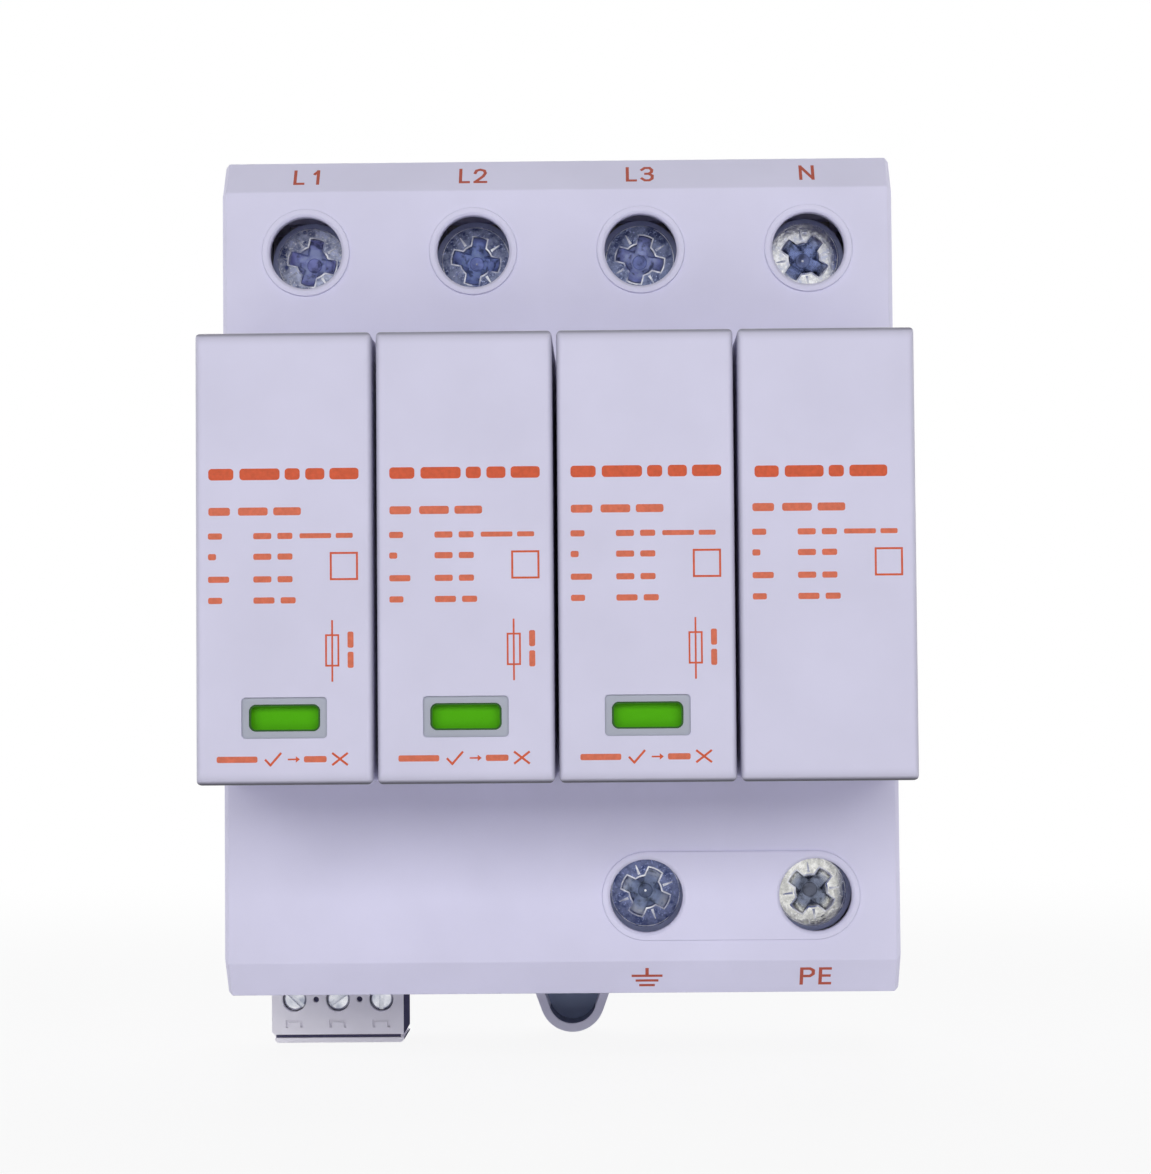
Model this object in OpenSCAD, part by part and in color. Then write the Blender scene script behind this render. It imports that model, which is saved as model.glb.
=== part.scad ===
// DIN rail surge arrester: four plug-in modules in a terminal base, with a pluggable signal terminal.
// Millimetres. X runs along the rail, Y points back to the rail, Z is up.
// The origin is the middle of the rail seat. Depths are measured forward from the rail seat.

/* [Modules] */

// Width of one pole along the rail
pole_pitch = 18; // [17.8:0.1:19]
// Gap between neighbouring module heads
head_gap = 0.45; // [0.3:0.05:0.8]
// Height of a module head
head_h = 45; // [44.5:0.1:46]
// Depth of the module fronts
front_depth = 66; // [64:0.5:70]
// Radius of the front edges of a module head
head_edge_r = 0.7; // [0.4:0.1:1.1]
// Radius of the long corners of a module head
head_corner_r = 0.6; // [0.4:0.1:1.2]
// Front wall of a module cover
cover_front = 1.5; // [1.2:0.1:2]
// Side wall of a module cover
cover_wall = 1.2; // [1:0.1:1.4]
// Thickness of the carrier that closes a module
carrier_t = 2; // [1.6:0.1:2.4]
// Thickness of the varistor block
varistor_t = 7.2; // [6:0.1:8]
// Diameter of the spark gap
gap_d = 11.6; // [10:0.1:12]

/* [Indicator] */

// Width of the indicator window
window_w = 7.1; // [6:0.1:7.6]
// Height of the indicator window
window_h = 2.7; // [2:0.1:3.2]
// Distance of the window below the middle of the module
window_drop = 15.85; // [14:0.1:16.2]
// Border of the sunk frame round the window
frame_border = 0.7; // [0.4:0.1:0.9]
// Depth of the sunk frame
frame_sink = 0.35; // [0.2:0.05:0.6]
// Thickness of the indicator flag
flag_t = 1; // [0.8:0.1:1.2]

/* [Base] */

// Height of the base
base_h = 90; // [88:0.5:92]
// Distance of the base's middle below the rail's middle
base_drop = 0.75; // [0:0.05:1]
// Depth of the two terminal shoulders
shoulder_depth = 43.5; // [42.5:0.5:45]
// Depth of the slope at the outer edge of a shoulder
slope_depth = 3; // [2:0.1:3.5]
// Height of the slope at the outer edge of a shoulder
slope_h = 3.65; // [3:0.05:4]
// Bevel of the long outer edges of the base
base_edge = 0.45; // [0.2:0.05:0.8]
// Outer wall of the base
wall = 2; // [1.6:0.1:2.2]
// Wall between the poles
rib = 2.2; // [2:0.1:2.6]
// Depth of the module bay's floor
floor_depth = 19; // [18.5:0.1:20]
// Thickness of the module bay's floor
floor_t = 1.5; // [1.2:0.1:1.8]

/* [Terminals] */

// Upper screw axis below the top edge
inset_top = 10.25; // [9.8:0.05:10.8]
// Lower screw axis above the bottom edge
inset_bottom = 10.55; // [10:0.05:11]
// Diameter of the screw access hole
access_d = 7.75; // [7:0.05:8.2]
// Thickness of the lip round an access hole
access_lip = 1; // [0.8:0.1:1.6]
// Diameter of the raised rim round an access hole
rim_d = 9.4; // [9:0.1:10.4]
// Height of the raised rim
rim_h = 0.3; // [0.2:0.05:0.5]
// Diameter of the terminal screw head
head_d = 8.8; // [8.4:0.1:9.2]
// Height of the terminal screw head
screw_head_h = 2.4; // [2:0.1:2.8]
// Depth of the screw head below the shoulder
head_sink = 7; // [6:0.1:7.4]
// Gap round the screw head in its pocket
pocket_gap = 1.3; // [0.8:0.1:1.5]
// Thread diameter of the terminal screw
screw_d = 5; // [4.5:0.1:5.4]
// Width across the screw recess
recess_w = 5.3; // [4.5:0.1:5.6]
// Width of one arm of the screw recess
recess_arm = 1.5; // [1.2:0.1:1.6]
// Width across the round middle of the screw recess
recess_mid = 3.4; // [2.8:0.1:3.6]
// Depth of the screw recess
recess_deep = 2.2; // [2:0.1:3]
// Lift of a clamp from open to closed
clamp_lift = 6.8; // [6:0.1:7]
// Width of a clamp
clamp_w = 11; // [10.6:0.1:11.6]
// Height of a clamp
clamp_h = 9; // [8:0.1:9.4]
// Clear space for the wire in an open clamp
wire_space = 9.1; // [8:0.1:9.3]
// Width of a wire entry
entry_w = 8.4; // [7.6:0.1:8.4]

/* [Contacts] */

// Thickness of the conductor strip
strip_t = 1.5; // [1.2:0.1:1.6]
// Width of the conductor strip
strip_w = 7.6; // [7:0.1:7.9]
// Thickness of a module blade
blade_t = 1.2; // [1:0.1:1.4]
// Width of a module blade
blade_w = 7; // [6:0.1:7.4]
// Distance of a blade from the middle of the module
blade_z = 14; // [13.5:0.1:14.4]
// Thickness of a contact leaf
leaf_t = 0.9; // [0.7:0.1:1]

/* [Rail foot] */

// Width of the rail
rail_w = 35; // [34.8:0.1:35.2]
// Grip of the hook and of the latch behind the rail edge
hook_grip = 1.5; // [1.2:0.1:1.8]
// Reach of the foot behind the rail seat
foot_back = 5.5; // [5.2:0.1:6.5]
// Thickness of the foot plate
foot_t = 2.5; // [2.2:0.1:2.8]
// Sideways offset of the rail latch
latch_x = 0.5; // [-0.5:0.1:0.6]
// Width of the latch slider
latch_w = 11; // [10:0.1:11.4]
// Radius of the round end of the latch lug
lug_r = 3.9; // [3.4:0.1:4.2]
// Lean of the sides of the latch lug
lug_lean = 20; // [14:1:21]
// Reach of the latch lug below the base
lug_reach = 8.4; // [8:0.05:9]
// Stroke of the latch
latch_stroke = 4; // [3:0.1:4]

/* [Signal terminal] */

// Pitch of the signal terminal
plug_pitch = 5.08; // [5:0.02:5.1]
// Depth of the plug's front face
plug_front = 13.5; // [13.2:0.1:14]
// Reach of the plug below the base
plug_reach = 8.3; // [8:0.1:9]
// Diameter of the plug's screw holes
plug_hole_d = 2.85; // [2.6:0.05:3]
// Lift of a plug clamp from open to closed
plug_lift = 2.1; // [1.8:0.1:2.1]
// Stroke of the signal bar
bar_stroke = 2; // [1.5:0.1:2]

/* [Hidden] */

$fn = 48;

// Clearances
fit = 0.2;
seat = 0.1;
slip = 0.3;

poles = ["l1", "l2", "l3", "n"];
terminals = ["l1", "l2", "l3", "n", "pe1", "pe2"];
screw_turn = [-13, -11, -15, 54, 65, -38];
plug_turn = [137, 35, 88];

base_w = len(poles) * pole_pitch;
top = base_h / 2 - base_drop;
bottom = -base_h / 2 - base_drop;
end_wall = rib / 2;

// Module bay and inserted module body
bay_w = pole_pitch - rib;
bay_h = head_h - 1.4;
body_w = bay_w - 2 * slip;
body_h = bay_h - 4 * fit;
head_w = pole_pitch - head_gap;
head_back = shoulder_depth + slip;
body_back = floor_depth + 2 * fit;
cavity_w = body_w - 2 * cover_wall;
cavity_h = body_h - 2 * cover_wall;
cavity_front = front_depth - cover_front;
bay_wall = wall + fit;
chamber_z = bay_h / 2 + bay_wall;

// Terminal stack, from the shoulder back to the foot
head_top = shoulder_depth - head_sink;
head_under = head_top - screw_head_h;
tube_end = head_under - fit;
tube_wall = 1.2;
pocket_r = head_d / 2 + pocket_gap;
pocket_end = tube_end - 1;
web_t = 1.2;
lip_back = shoulder_depth - access_lip;
clamp_front = tube_end - fit - clamp_lift;
clamp_front_wall = 2.2;
clamp_side = 1.2;
clamp_in_front = clamp_front - clamp_front_wall;
tongue_front = clamp_in_front - fit;
tongue_back = tongue_front - strip_t;
clamp_in_back = tongue_back - wire_space;
clamp_back = clamp_in_back - strip_t;
screw_tip = tongue_front + seat;
entry_d = wire_space - 2 * slip;
entry_mid = (tongue_back + clamp_in_back) / 2;

// Contact strips and bars
floor_back = floor_depth - floor_t;
blade_tip = 10.5;
web_back = 8;
web_front = web_back + strip_t;
link_back = web_back - strip_t;
leaf_front = floor_back - 0.5;
leaf_in = blade_t / 2 + seat;
strap_z = chamber_z + 2 * fit;
tongue_over = clamp_h / 2 + 1.5;
link_h = 6;
riser_w = 4;

// Varistor, arms and blades inside a module
carrier_front = body_back + carrier_t;
blade_head = carrier_front + 5.6;
arm_t = 0.9;
post_z = 4;
post_w = 4;
post_h = 3;
varistor_back = blade_head + 1;
varistor_d = 30;
varistor_h = 26;

// Indicator
frame_w = window_w + 2 * frame_border;
frame_h = window_h + 2 * frame_border;
flag_w = frame_w + 0.5;
flag_h = frame_h + 1.5;
flag_front = cavity_front - fit;
flag_back = flag_front - flag_t;
flag_stroke = window_h + 1.9;
guide_back = flag_back - 2 * fit;
guide_in = flag_w / 2 + slip;

// Rail foot and latch
rail_slot = rail_w / 2 + 0.25;
lip_z = rail_w / 2 - hook_grip;
pad_z = lip_z - 0.5;
pad_h = 0.6;
lip_y = 1.3;
latch_front = 1.2;
latch_back = latch_front + 2.9;
tunnel_front = latch_front - slip;
tunnel_back = latch_back + slip;
tunnel_w = latch_w + 2 * slip;
spring_top = -rail_slot - 4.5;
spring_bottom = spring_top - 9.7;
peg_h = 2;
spring_d = 2.4;
spring_wire = 0.45;
coils = 7;
lug_wall = 1;
lug_gap = 0.45;
lug_front = 3;
lug_floor = -2.5;

// Signal terminal
plug_x = pole_x(0) + 0.2;
plug_w = 3 * plug_pitch + 0.16;
plug_back = foot_t + 0.5;
plug_bottom = bottom - plug_reach;
plug_face = plug_bottom + 1;
plug_top = bottom + 6.75;
plug_screw_z = bottom - 3.25;
pocket_w = plug_pitch - 0.9;
small_top = plug_front - 0.9;
small_under = small_top - 1;
small_front = small_under - fit - plug_lift;
small_in = small_front - 0.9;
small_tongue = small_in - fit;
small_tongue_back = small_tongue - 0.8;
small_back = small_tongue_back - 3.5;
small_h = 3.6;
pin_d = small_tongue + 0.1 + 0.5;
pin_w = 1;
header_bottom = plug_top + 0.5;
header_top = header_bottom + 5;
switch_h = 7;
switch_inset = 1.5;
switch_depth = 6;
button_drop = 2.2;
button_w = 2;
button_h = 1.6;
switch_top = header_top + switch_h;
switch_right = plug_x + plug_w / 2 - 2;
bar_z = -head_h / 2 + 2;
bar_h = 2.2;
bar_front = floor_back - fit;
bar_back = bar_front - bar_h;
bar_end = pole_x(2) + 5;
bar_start = switch_right + 1;
bar_arm = 1.6;
bar_guides = [bar_start + bar_arm + bar_stroke + rib, pole_x(1) + pole_pitch / 2];

// Snap tongues between the bay wall and the signal header
snap_t = 1.2;
snap_hook = 6.1;
snap_end = 9.2;
snap_h = -header_top - chamber_z - 4 * slip;
snap_z = (chamber_z - header_top) / 2;

plastic = [0.82, 0.82, 0.88];
foot_plastic = [0.72, 0.72, 0.79];
steel = [0.72, 0.74, 0.78];
copper = [0.8, 0.55, 0.4];
black = [0.2, 0.2, 0.22];

// Middle of a pole, counted from the left
function pole_x(i) = (i - (len(poles) - 1) / 2) * pole_pitch;

// Screw axis of a terminal: four in the upper row, two in the lower row
function screw_x(i) = i < 4 ? pole_x(i) : pole_x(i - 2);
function screw_z(i) = i < 4 ? top - inset_top : bottom + inset_bottom;

// Middle of a signal terminal
function signal_x(i) = plug_x + (i - 2) * plug_pitch;

// A range that lies the same distance to both sides of a middle
function about(middle, size) = [middle - size / 2, middle + size / 2];

// Block between limits in X, depth and Z
module slab(x, d, z) {
    translate([x[0], -d[1], z[0]])
        cube([x[1] - x[0], d[1] - d[0], z[1] - z[0]]);
}

// Round bar along the depth
module rod(x, z, d, r) {
    translate([x, -d[0], z])
        rotate([90, 0, 0])
            cylinder(h = d[1] - d[0], r = r);
}

// Cone along the depth
module cone(x, z, d, r_back, r_front) {
    translate([x, -d[0], z])
        rotate([90, 0, 0])
            cylinder(h = d[1] - d[0], r1 = r_back, r2 = r_front);
}

// Profile drawn in (Y, Z), extruded along X
module along_x(x, w) {
    translate([x, 0, 0])
        rotate([90, 0, 90])
            linear_extrude(w, center = true)
                children();
}

// Profile drawn in (X, Z), extruded along the depth
module along_d(d) {
    translate([0, -d[0], 0])
        rotate([90, 0, 0])
            linear_extrude(d[1] - d[0])
                children();
}

// Profile drawn in (X, Y), extruded along Z
module along_z(z) {
    translate([0, 0, z[0]])
        linear_extrude(z[1] - z[0])
            children();
}

// Rectangle with round corners about the origin
module round_rect(w, h, r) {
    square([w - 2 * r, h], center = true);
    square([w, h - 2 * r], center = true);
    for (x = [-1, 1], y = [-1, 1])
        translate([x * (w / 2 - r), y * (h / 2 - r)])
            circle(r);
}

// Rectangle whose two corners at the low Y end are round
module round_front(w, y, r) {
    translate([-w / 2, y[0] + r])
        square([w, y[1] - y[0] - r]);
    translate([-w / 2 + r, y[0]])
        square([w - 2 * r, r]);
    for (x = [-1, 1])
        translate([x * (w / 2 - r), y[0] + r])
            circle(r);
}

// Outer side profile of the base, in (Y, Z)
module base_profile(front, rear, inset) {
    hi = top - inset;
    lo = bottom + inset;
    polygon([
        [-front, hi - slope_h],
        [-front + slope_depth, hi],
        [-rear, hi],
        [-rear, lo],
        [-front + slope_depth, lo],
        [-front, lo + slope_h]
    ]);
}

// Hollow of a terminal chamber, in (Y, Z): side is 1 for the upper row and -1 for the lower row
module chamber_profile(side) {
    intersection() {
        base_profile(shoulder_depth - wall, foot_t - 1, wall);
        translate([-shoulder_depth, side > 0 ? chamber_z : bottom])
            square([shoulder_depth, side > 0 ? top - chamber_z : -chamber_z - bottom]);
    }
}

// Access hole of one terminal screw: a thin lip in front of the wider pocket of the screw head
module screw_access(i) {
    rim = shoulder_depth + rim_h;
    rod(screw_x(i), screw_z(i), [lip_back - 1, rim + 1], access_d / 2);
    cone(screw_x(i), screw_z(i), [rim - rim_h, rim + rim_h], access_d / 2, access_d / 2 + 2 * rim_h);
    rod(screw_x(i), screw_z(i), [pocket_end, lip_back], pocket_r);
}

// Wire entry of one terminal with a sunk border
module wire_entry(i) {
    side = i < 4 ? 1 : -1;
    edge = i < 4 ? top : bottom;
    deep = about(edge - side * wall / 2, wall + 2);
    border = about(edge, 1.6);
    translate([screw_x(i), -entry_mid, 0]) {
        along_z(deep)
            round_rect(entry_w, entry_d, 1.2);
        along_z(border)
            round_rect(entry_w + 1.8, entry_d + 1.8, 2.1);
    }
}

// Raised rims on the shoulders: one round each hole above, one round both holes below
module rims() {
    reach = [shoulder_depth - 0.5, shoulder_depth + rim_h];
    for (i = [0:5])
        rod(screw_x(i), screw_z(i), reach, rim_d / 2);
    slab([screw_x(4), screw_x(5)], reach, about(screw_z(4), rim_d));
}

// Hollows of the base: module bays, terminal chambers, signal room and contact room
module base_hollows() {
    for (i = [0:3]) {
        slab(about(pole_x(i), bay_w), [floor_depth, shoulder_depth + 1], about(0, bay_h));
        along_x(pole_x(i), bay_w)
            chamber_profile(1);
    }
    for (i = [2:3])
        along_x(pole_x(i), bay_w)
            chamber_profile(-1);
    along_x((pole_x(0) + pole_x(1)) / 2, 2 * pole_pitch - rib)
        chamber_profile(-1);
    slab(about(0, base_w - rib), [foot_t - 1, floor_back], about(0, 2 * chamber_z + 1));
}

// Web that keeps a wire from passing in front of its clamp
module wire_stop(i) {
    side = i < 4 ? 1 : -1;
    inner = screw_z(i) + side * (clamp_h / 2 + 2 * fit);
    outer = (i < 4 ? top : bottom) - side * wall / 2;
    slab(
        about(screw_x(i), bay_w + 1),
        [pocket_end - fit - web_t, pocket_end - fit],
        [min(inner, outer), max(inner, outer)]
    );
}

// Tubes that lead to the screws, wire stops, and lugs that guide the signal bar
module base_fittings() {
    for (i = [0:5]) {
        rod(screw_x(i), screw_z(i), [tube_end, shoulder_depth - wall + 0.5], pocket_r + tube_wall);
        wire_stop(i);
    }
    for (x = bar_guides)
        slab(about(x, rib), [bar_back - 1, floor_back + 0.5], about(bar_z, bar_h + 2.4));
}

// Openings through the walls of the base
module base_openings() {
    for (i = [0:5]) {
        screw_access(i);
        wire_entry(i);
    }
    for (i = [0:3], z = [-blade_z, blade_z])
        slab(about(pole_x(i), blade_t + 1.4), [floor_back - 1, floor_depth + 1], about(z, blade_w + 1));
    for (i = [0:2])
        rod(pole_x(i), bar_z, [floor_back - 0.5, floor_depth + 1], 1.1);
    for (x = bar_guides)
        slab(about(x, rib + 1), [bar_back - fit, floor_back], about(bar_z, bar_h + 2 * fit));
    slab(
        [pole_x(2) + bay_w / 2 - 1, pole_x(3) - bay_w / 2 + 1],
        [foot_t - 1, tongue_front + 0.5],
        [-strap_z - 2 * strip_t - 2, -strap_z + 2 * fit]
    );
    slab(about(plug_x, plug_w + 0.6), [foot_t - 1, plug_front + 0.4], [bottom - 1, bottom + wall + 1]);
    for (x = [-1, 1], z = [-1, 1])
        slab(
            about(x * base_w / 2, 3 * rib),
            [snap_hook - slip, snap_end + 2 * fit],
            about(z * snap_z, snap_h + 2 * slip)
        );
}

// Outer form of the base: its side profile with both ends bevelled
module base_form() {
    hull() {
        along_x(0, base_w - 2 * base_edge)
            base_profile(shoulder_depth, foot_t, 0);
        along_x(0, base_w)
            base_profile(shoulder_depth - base_edge, foot_t, base_edge);
    }
}

module base_housing() {
    color(plastic)
        difference() {
            union() {
                difference() {
                    base_form();
                    base_hollows();
                }
                base_fittings();
                rims();
            }
            base_openings();
        }
}

// Side profile of the rail foot, in (Y, Z), with the rail channel and the fixed upper hook
module foot_profile() {
    bevel = 2;
    polygon([
        [-foot_t, top],
        [foot_back - bevel, top],
        [foot_back, top - bevel],
        [foot_back, lip_z + 1],
        [foot_back - 1, lip_z],
        [lip_y, lip_z],
        [lip_y, rail_slot],
        [-pad_h, rail_slot],
        [-pad_h, pad_z],
        [0, pad_z],
        [0, -pad_z],
        [-pad_h, -pad_z],
        [-pad_h, -rail_slot],
        [foot_back, -rail_slot],
        [foot_back, bottom + bevel],
        [foot_back - bevel, bottom],
        [-foot_t, bottom]
    ]);
}

// Cored pockets in the back of the rail foot
module foot_pockets() {
    inner = latch_x + tunnel_w / 2 + 1.5;
    far = base_w / 2 - 2;
    deep = [-foot_back - 1, -0.2];
    for (i = [0:3])
        slab(about(pole_x(i), pole_pitch - 2.4), deep, [rail_slot + 2, top - 3]);
    for (s = [-1, 1], k = [0:1]) {
        x0 = inner + k * (far - inner + 1.5) / 2;
        x1 = x0 + (far - inner - 1.5) / 2;
        slab(s > 0 ? [x0, x1] : [-x1, -x0], deep, [bottom + 3, -rail_slot - 2]);
    }
}

// Tunnel of the latch, open to the back by a narrower slot
module latch_tunnel() {
    long = [bottom - 1, -rail_slot + 1];
    slab(about(latch_x, tunnel_w), [-tunnel_back, -tunnel_front], long);
    slab(about(latch_x, tunnel_w - 4), [-foot_back - 1, -tunnel_back + 0.5], long);
}

// Ribs that carry the contact strips and bars
module foot_ribs() {
    root = foot_t - 0.5;
    for (i = [0:3])
        slab(about(pole_x(i), 5), [root, web_back], about(20, 3));
    slab(about(pole_x(3), 5), [root, web_back], about(-20, 3));
    for (i = [0:2])
        slab(about(pole_x(i), 5), [root, link_back], about(-blade_z, 3));
    slab(about(pole_x(3), 5), [root, link_back], about(blade_z, 3));
}

// Snap tongues that hook into the windows of the base
module foot_snaps() {
    in = base_w / 2 - end_wall - fit;
    for (s = [-1, 1], z = [-snap_z, snap_z])
        along_z(about(z, snap_h))
            polygon([
                [s * (in - snap_t), -foot_t + 0.5],
                [s * in, -foot_t + 0.5],
                [s * in, -snap_hook],
                [s * (in + end_wall), -snap_hook],
                [s * in, -snap_end],
                [s * (in - snap_t), -snap_end]
            ]);
}

module rail_foot() {
    color(foot_plastic) {
        difference() {
            union() {
                along_x(0, base_w)
                    foot_profile();
                foot_ribs();
                foot_snaps();
            }
            foot_pockets();
            latch_tunnel();
        }
        slab(
            about(latch_x, spring_d),
            [-latch_back, -tunnel_front + 0.3],
            [spring_bottom - peg_h, spring_bottom]
        );
    }
}

// Outline of the latch lug below the base, in (X, Z): sides that lean in to a round end
module lug_outline(inset) {
    r = lug_r - inset;
    middle = bottom - lug_reach + lug_r;
    high = bottom - lug_gap + inset;
    side_x = r * cos(lug_lean);
    side_z = middle - r * sin(lug_lean);
    high_x = side_x + (high - side_z) * tan(lug_lean);
    translate([latch_x, 0]) {
        polygon([[-high_x, high], [high_x, high], [side_x, side_z], [-side_x, side_z]]);
        translate([0, middle])
            circle(r);
    }
}

module rail_latch() {
    lip_top = -lip_z;
    shoulder = -rail_slot - 0.15;
    window_top = spring_top + 0.15;
    window_low = spring_bottom - peg_h - slip;
    color(foot_plastic)
        difference() {
            union() {
                along_x(latch_x, latch_w)
                    polygon([
                        [latch_front, bottom - 1.4],
                        [latch_front, shoulder],
                        [lip_y + 0.2, shoulder],
                        [lip_y + 0.2, lip_top],
                        [latch_back - 1.6, lip_top],
                        [latch_back, shoulder - 1],
                        [latch_back, bottom - 1.4]
                    ]);
                along_d([-latch_back, lug_front])
                    lug_outline(0);
            }
            slab(about(latch_x, spring_d + 0.8), [-latch_back - 1, -latch_front + 1], [window_low, window_top]);
            along_d([lug_floor, lug_front + 1])
                lug_outline(lug_wall);
        }
}

// Round wire wound into a compression spring
module latch_spring() {
    sides = 8;
    steps = 14;
    rings = coils * steps;
    r = (spring_d - spring_wire) / 2;
    rise = spring_top - spring_bottom - spring_wire - 0.1;
    ring_points = [
        for (k = [0:rings], s = [0:sides - 1])
            let (
                turn = 360 * k / steps,
                a = 360 * s / sides,
                reach = r + spring_wire / 2 * cos(a)
            )
            [reach * cos(turn), reach * sin(turn), rise * k / rings + spring_wire / 2 * sin(a)]
    ];
    sides_faces = [
        for (k = [0:rings - 1], s = [0:sides - 1])
            let (n = (s + 1) % sides)
            [k * sides + s, (k + 1) * sides + s, (k + 1) * sides + n, k * sides + n]
    ];
    ends = [
        [for (s = [0:sides - 1]) s],
        [for (s = [0:sides - 1]) rings * sides + sides - 1 - s]
    ];
    color(steel)
        translate([latch_x, (latch_front + latch_back) / 2, spring_bottom + spring_wire / 2 + 0.05])
            polyhedron(ring_points, concat(sides_faces, ends), convexity = 10);
}

// Two sprung leaves that grip a module blade
module contact_jaw(i, z, root) {
    bend = leaf_front - 1.5;
    for (s = [-1, 1])
        translate([pole_x(i), 0, 0])
            along_z(about(z, blade_w))
                polygon([
                    [s * leaf_in, -root],
                    [s * leaf_in, -bend],
                    [s * (leaf_in + 0.5), -leaf_front],
                    [s * (leaf_in + 0.5 + leaf_t), -leaf_front],
                    [s * (leaf_in + leaf_t), -bend],
                    [s * (leaf_in + leaf_t), -root]
                ]);
}

// Strip from a terminal tongue round the bay wall to the contact web, in (Y, Z)
module strip_profile(side, tip) {
    polygon([
        [-tongue_front, tip],
        [-tongue_back, tip],
        [-tongue_back, side * (strap_z + strip_t)],
        [-web_back, side * (strap_z + strip_t)],
        [-web_back, side * (blade_z - blade_w / 2)],
        [-web_front, side * (blade_z - blade_w / 2)],
        [-web_front, side * strap_z],
        [-tongue_front, side * strap_z]
    ]);
}

module line_contact(i) {
    color(copper) {
        along_x(pole_x(i), strip_w)
            strip_profile(1, screw_z(i) + tongue_over);
        contact_jaw(i, blade_z, web_front - 0.3);
    }
}

module neutral_bar() {
    riser = pole_x(2) + pole_pitch / 2;
    color(copper) {
        along_x(pole_x(3), strip_w)
            strip_profile(1, screw_z(3) + tongue_over);
        contact_jaw(3, blade_z, web_front - 0.3);
        along_d([link_back, web_back]) {
            translate([pole_x(0) - strip_w / 2, -blade_z - link_h / 2])
                square([riser + riser_w / 2 - pole_x(0) + strip_w / 2, link_h]);
            translate([riser - riser_w / 2, -blade_z - link_h / 2])
                square([riser_w, 2 * blade_z + link_h]);
            translate([riser - riser_w / 2, blade_z - link_h / 2])
                square([pole_x(3) + strip_w / 2 - riser + riser_w / 2, link_h]);
        }
        for (i = [0:2])
            contact_jaw(i, -blade_z, web_back - 0.3);
    }
}

module earth_bar() {
    low = screw_z(4) - tongue_over;
    color(copper) {
        along_x(pole_x(3), strip_w)
            strip_profile(-1, low);
        slab(about(pole_x(2), strip_w), [tongue_back, tongue_front], [low, -strap_z]);
        slab([pole_x(2), pole_x(3)], [tongue_back, tongue_front], [-strap_z - 2 * strip_t, -strap_z]);
        contact_jaw(3, -blade_z, web_front - 0.3);
    }
}

// Terminal screw with a captive head and a cross recess
module terminal_screw(i) {
    r = head_d / 2;
    color(steel)
        translate([screw_x(i), 0, screw_z(i)])
            rotate([90, 0, 0])
                difference() {
                    rotate_extrude()
                        polygon([
                            [0, screw_tip],
                            [screw_d / 2 - 0.6, screw_tip],
                            [screw_d / 2, screw_tip + 0.8],
                            [screw_d / 2, head_under],
                            [r, head_under],
                            [r, head_top - 0.6],
                            [r - 0.6, head_top],
                            [0, head_top]
                        ]);
                    translate([0, 0, head_top])
                        rotate(screw_turn[i])
                            cross_recess();
                }
}

// Cross recess below z = 0: arms with straight flanks and ends that run in, and a pointed middle
module cross_recess() {
    over = 0.5;
    run_in = (recess_w - recess_arm) / 2 / recess_deep;
    intersection() {
        for (a = [0, 90])
            rotate(a)
                translate([-recess_w, -recess_arm / 2, -recess_deep])
                    cube([2 * recess_w, recess_arm, recess_deep + over]);
        translate([0, 0, -recess_deep])
            cylinder(
                h = recess_deep + over,
                r1 = recess_arm / 2,
                r2 = recess_w / 2 + over * run_in
            );
    }
    translate([0, 0, -recess_deep])
        cylinder(h = recess_deep + over, r1 = 0, r2 = recess_mid / 2 * (1 + over / recess_deep));
}

// Lift clamp: a closed cage that the screw draws up against the tongue
module clamp_cage(i) {
    deep = clamp_front - clamp_back;
    wide = about(screw_z(i), clamp_h);
    color(steel)
        difference() {
            translate([screw_x(i), -(clamp_front + clamp_back) / 2, 0])
                along_z(wide)
                    round_rect(clamp_w, deep, 1.2);
            slab(
                about(screw_x(i), clamp_w - 2 * clamp_side),
                [clamp_in_back, clamp_in_front],
                [wide[0] - 1, wide[1] + 1]
            );
            rod(screw_x(i), screw_z(i), [clamp_in_front - 1, clamp_front + 1], screw_d / 2 + 0.05);
            for (k = [-1:1])
                slab(
                    about(screw_x(i), clamp_w - 2 * clamp_side),
                    [clamp_in_back - 0.3, clamp_in_back + 0.5],
                    about(screw_z(i) + k * clamp_h / 4, 0.8)
                );
        }
}

// Snap-action switch that stands on the signal header
module signal_switch() {
    left = plug_x - plug_w / 2 + switch_inset;
    mid = (plug_front + plug_back) / 2;
    color(black) {
        slab([left, switch_right], about(mid, switch_depth), [header_top, switch_top]);
        slab(
            [switch_right - 0.5, switch_right + 0.7],
            about(mid, button_w),
            about(switch_top - button_drop, button_h)
        );
    }
}

module signal_header() {
    color(black)
        difference() {
            slab(about(plug_x, plug_w), [plug_back + fit, plug_front + fit], [header_bottom, header_top]);
            for (i = [1:3])
                slab(about(signal_x(i), pin_w), about(pin_d, pin_w), [header_bottom - 1, header_top - 1]);
        }
}

module signal_pins() {
    color(copper)
        for (i = [1:3])
            slab(about(signal_x(i), pin_w), about(pin_d, pin_w), [header_bottom - 6.5, header_top - 1]);
}

// Bar behind the bays: a module that trips pushes it aside and frees the switch
module signal_bar() {
    notch = 0.9;
    arm_z = switch_top - 3.4;
    color(foot_plastic) {
        difference() {
            slab([bar_start, bar_end], [bar_back, bar_front], about(bar_z, bar_h));
            for (i = [0:2])
                translate([pole_x(i), 0, 0])
                    along_z(about(bar_z, bar_h + 1))
                        polygon([
                            [-0.3, -bar_front + notch],
                            [-0.3, -bar_front - 1],
                            [1.4, -bar_front - 1],
                            [1.4, -bar_front]
                        ]);
        }
        slab([bar_start, bar_start + bar_arm], [bar_back, bar_front], [arm_z, bar_z]);
        slab([bar_start, bar_start + bar_arm], [plug_back + 3, bar_front], about(arm_z + 1.2, 2.4));
    }
}

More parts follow.
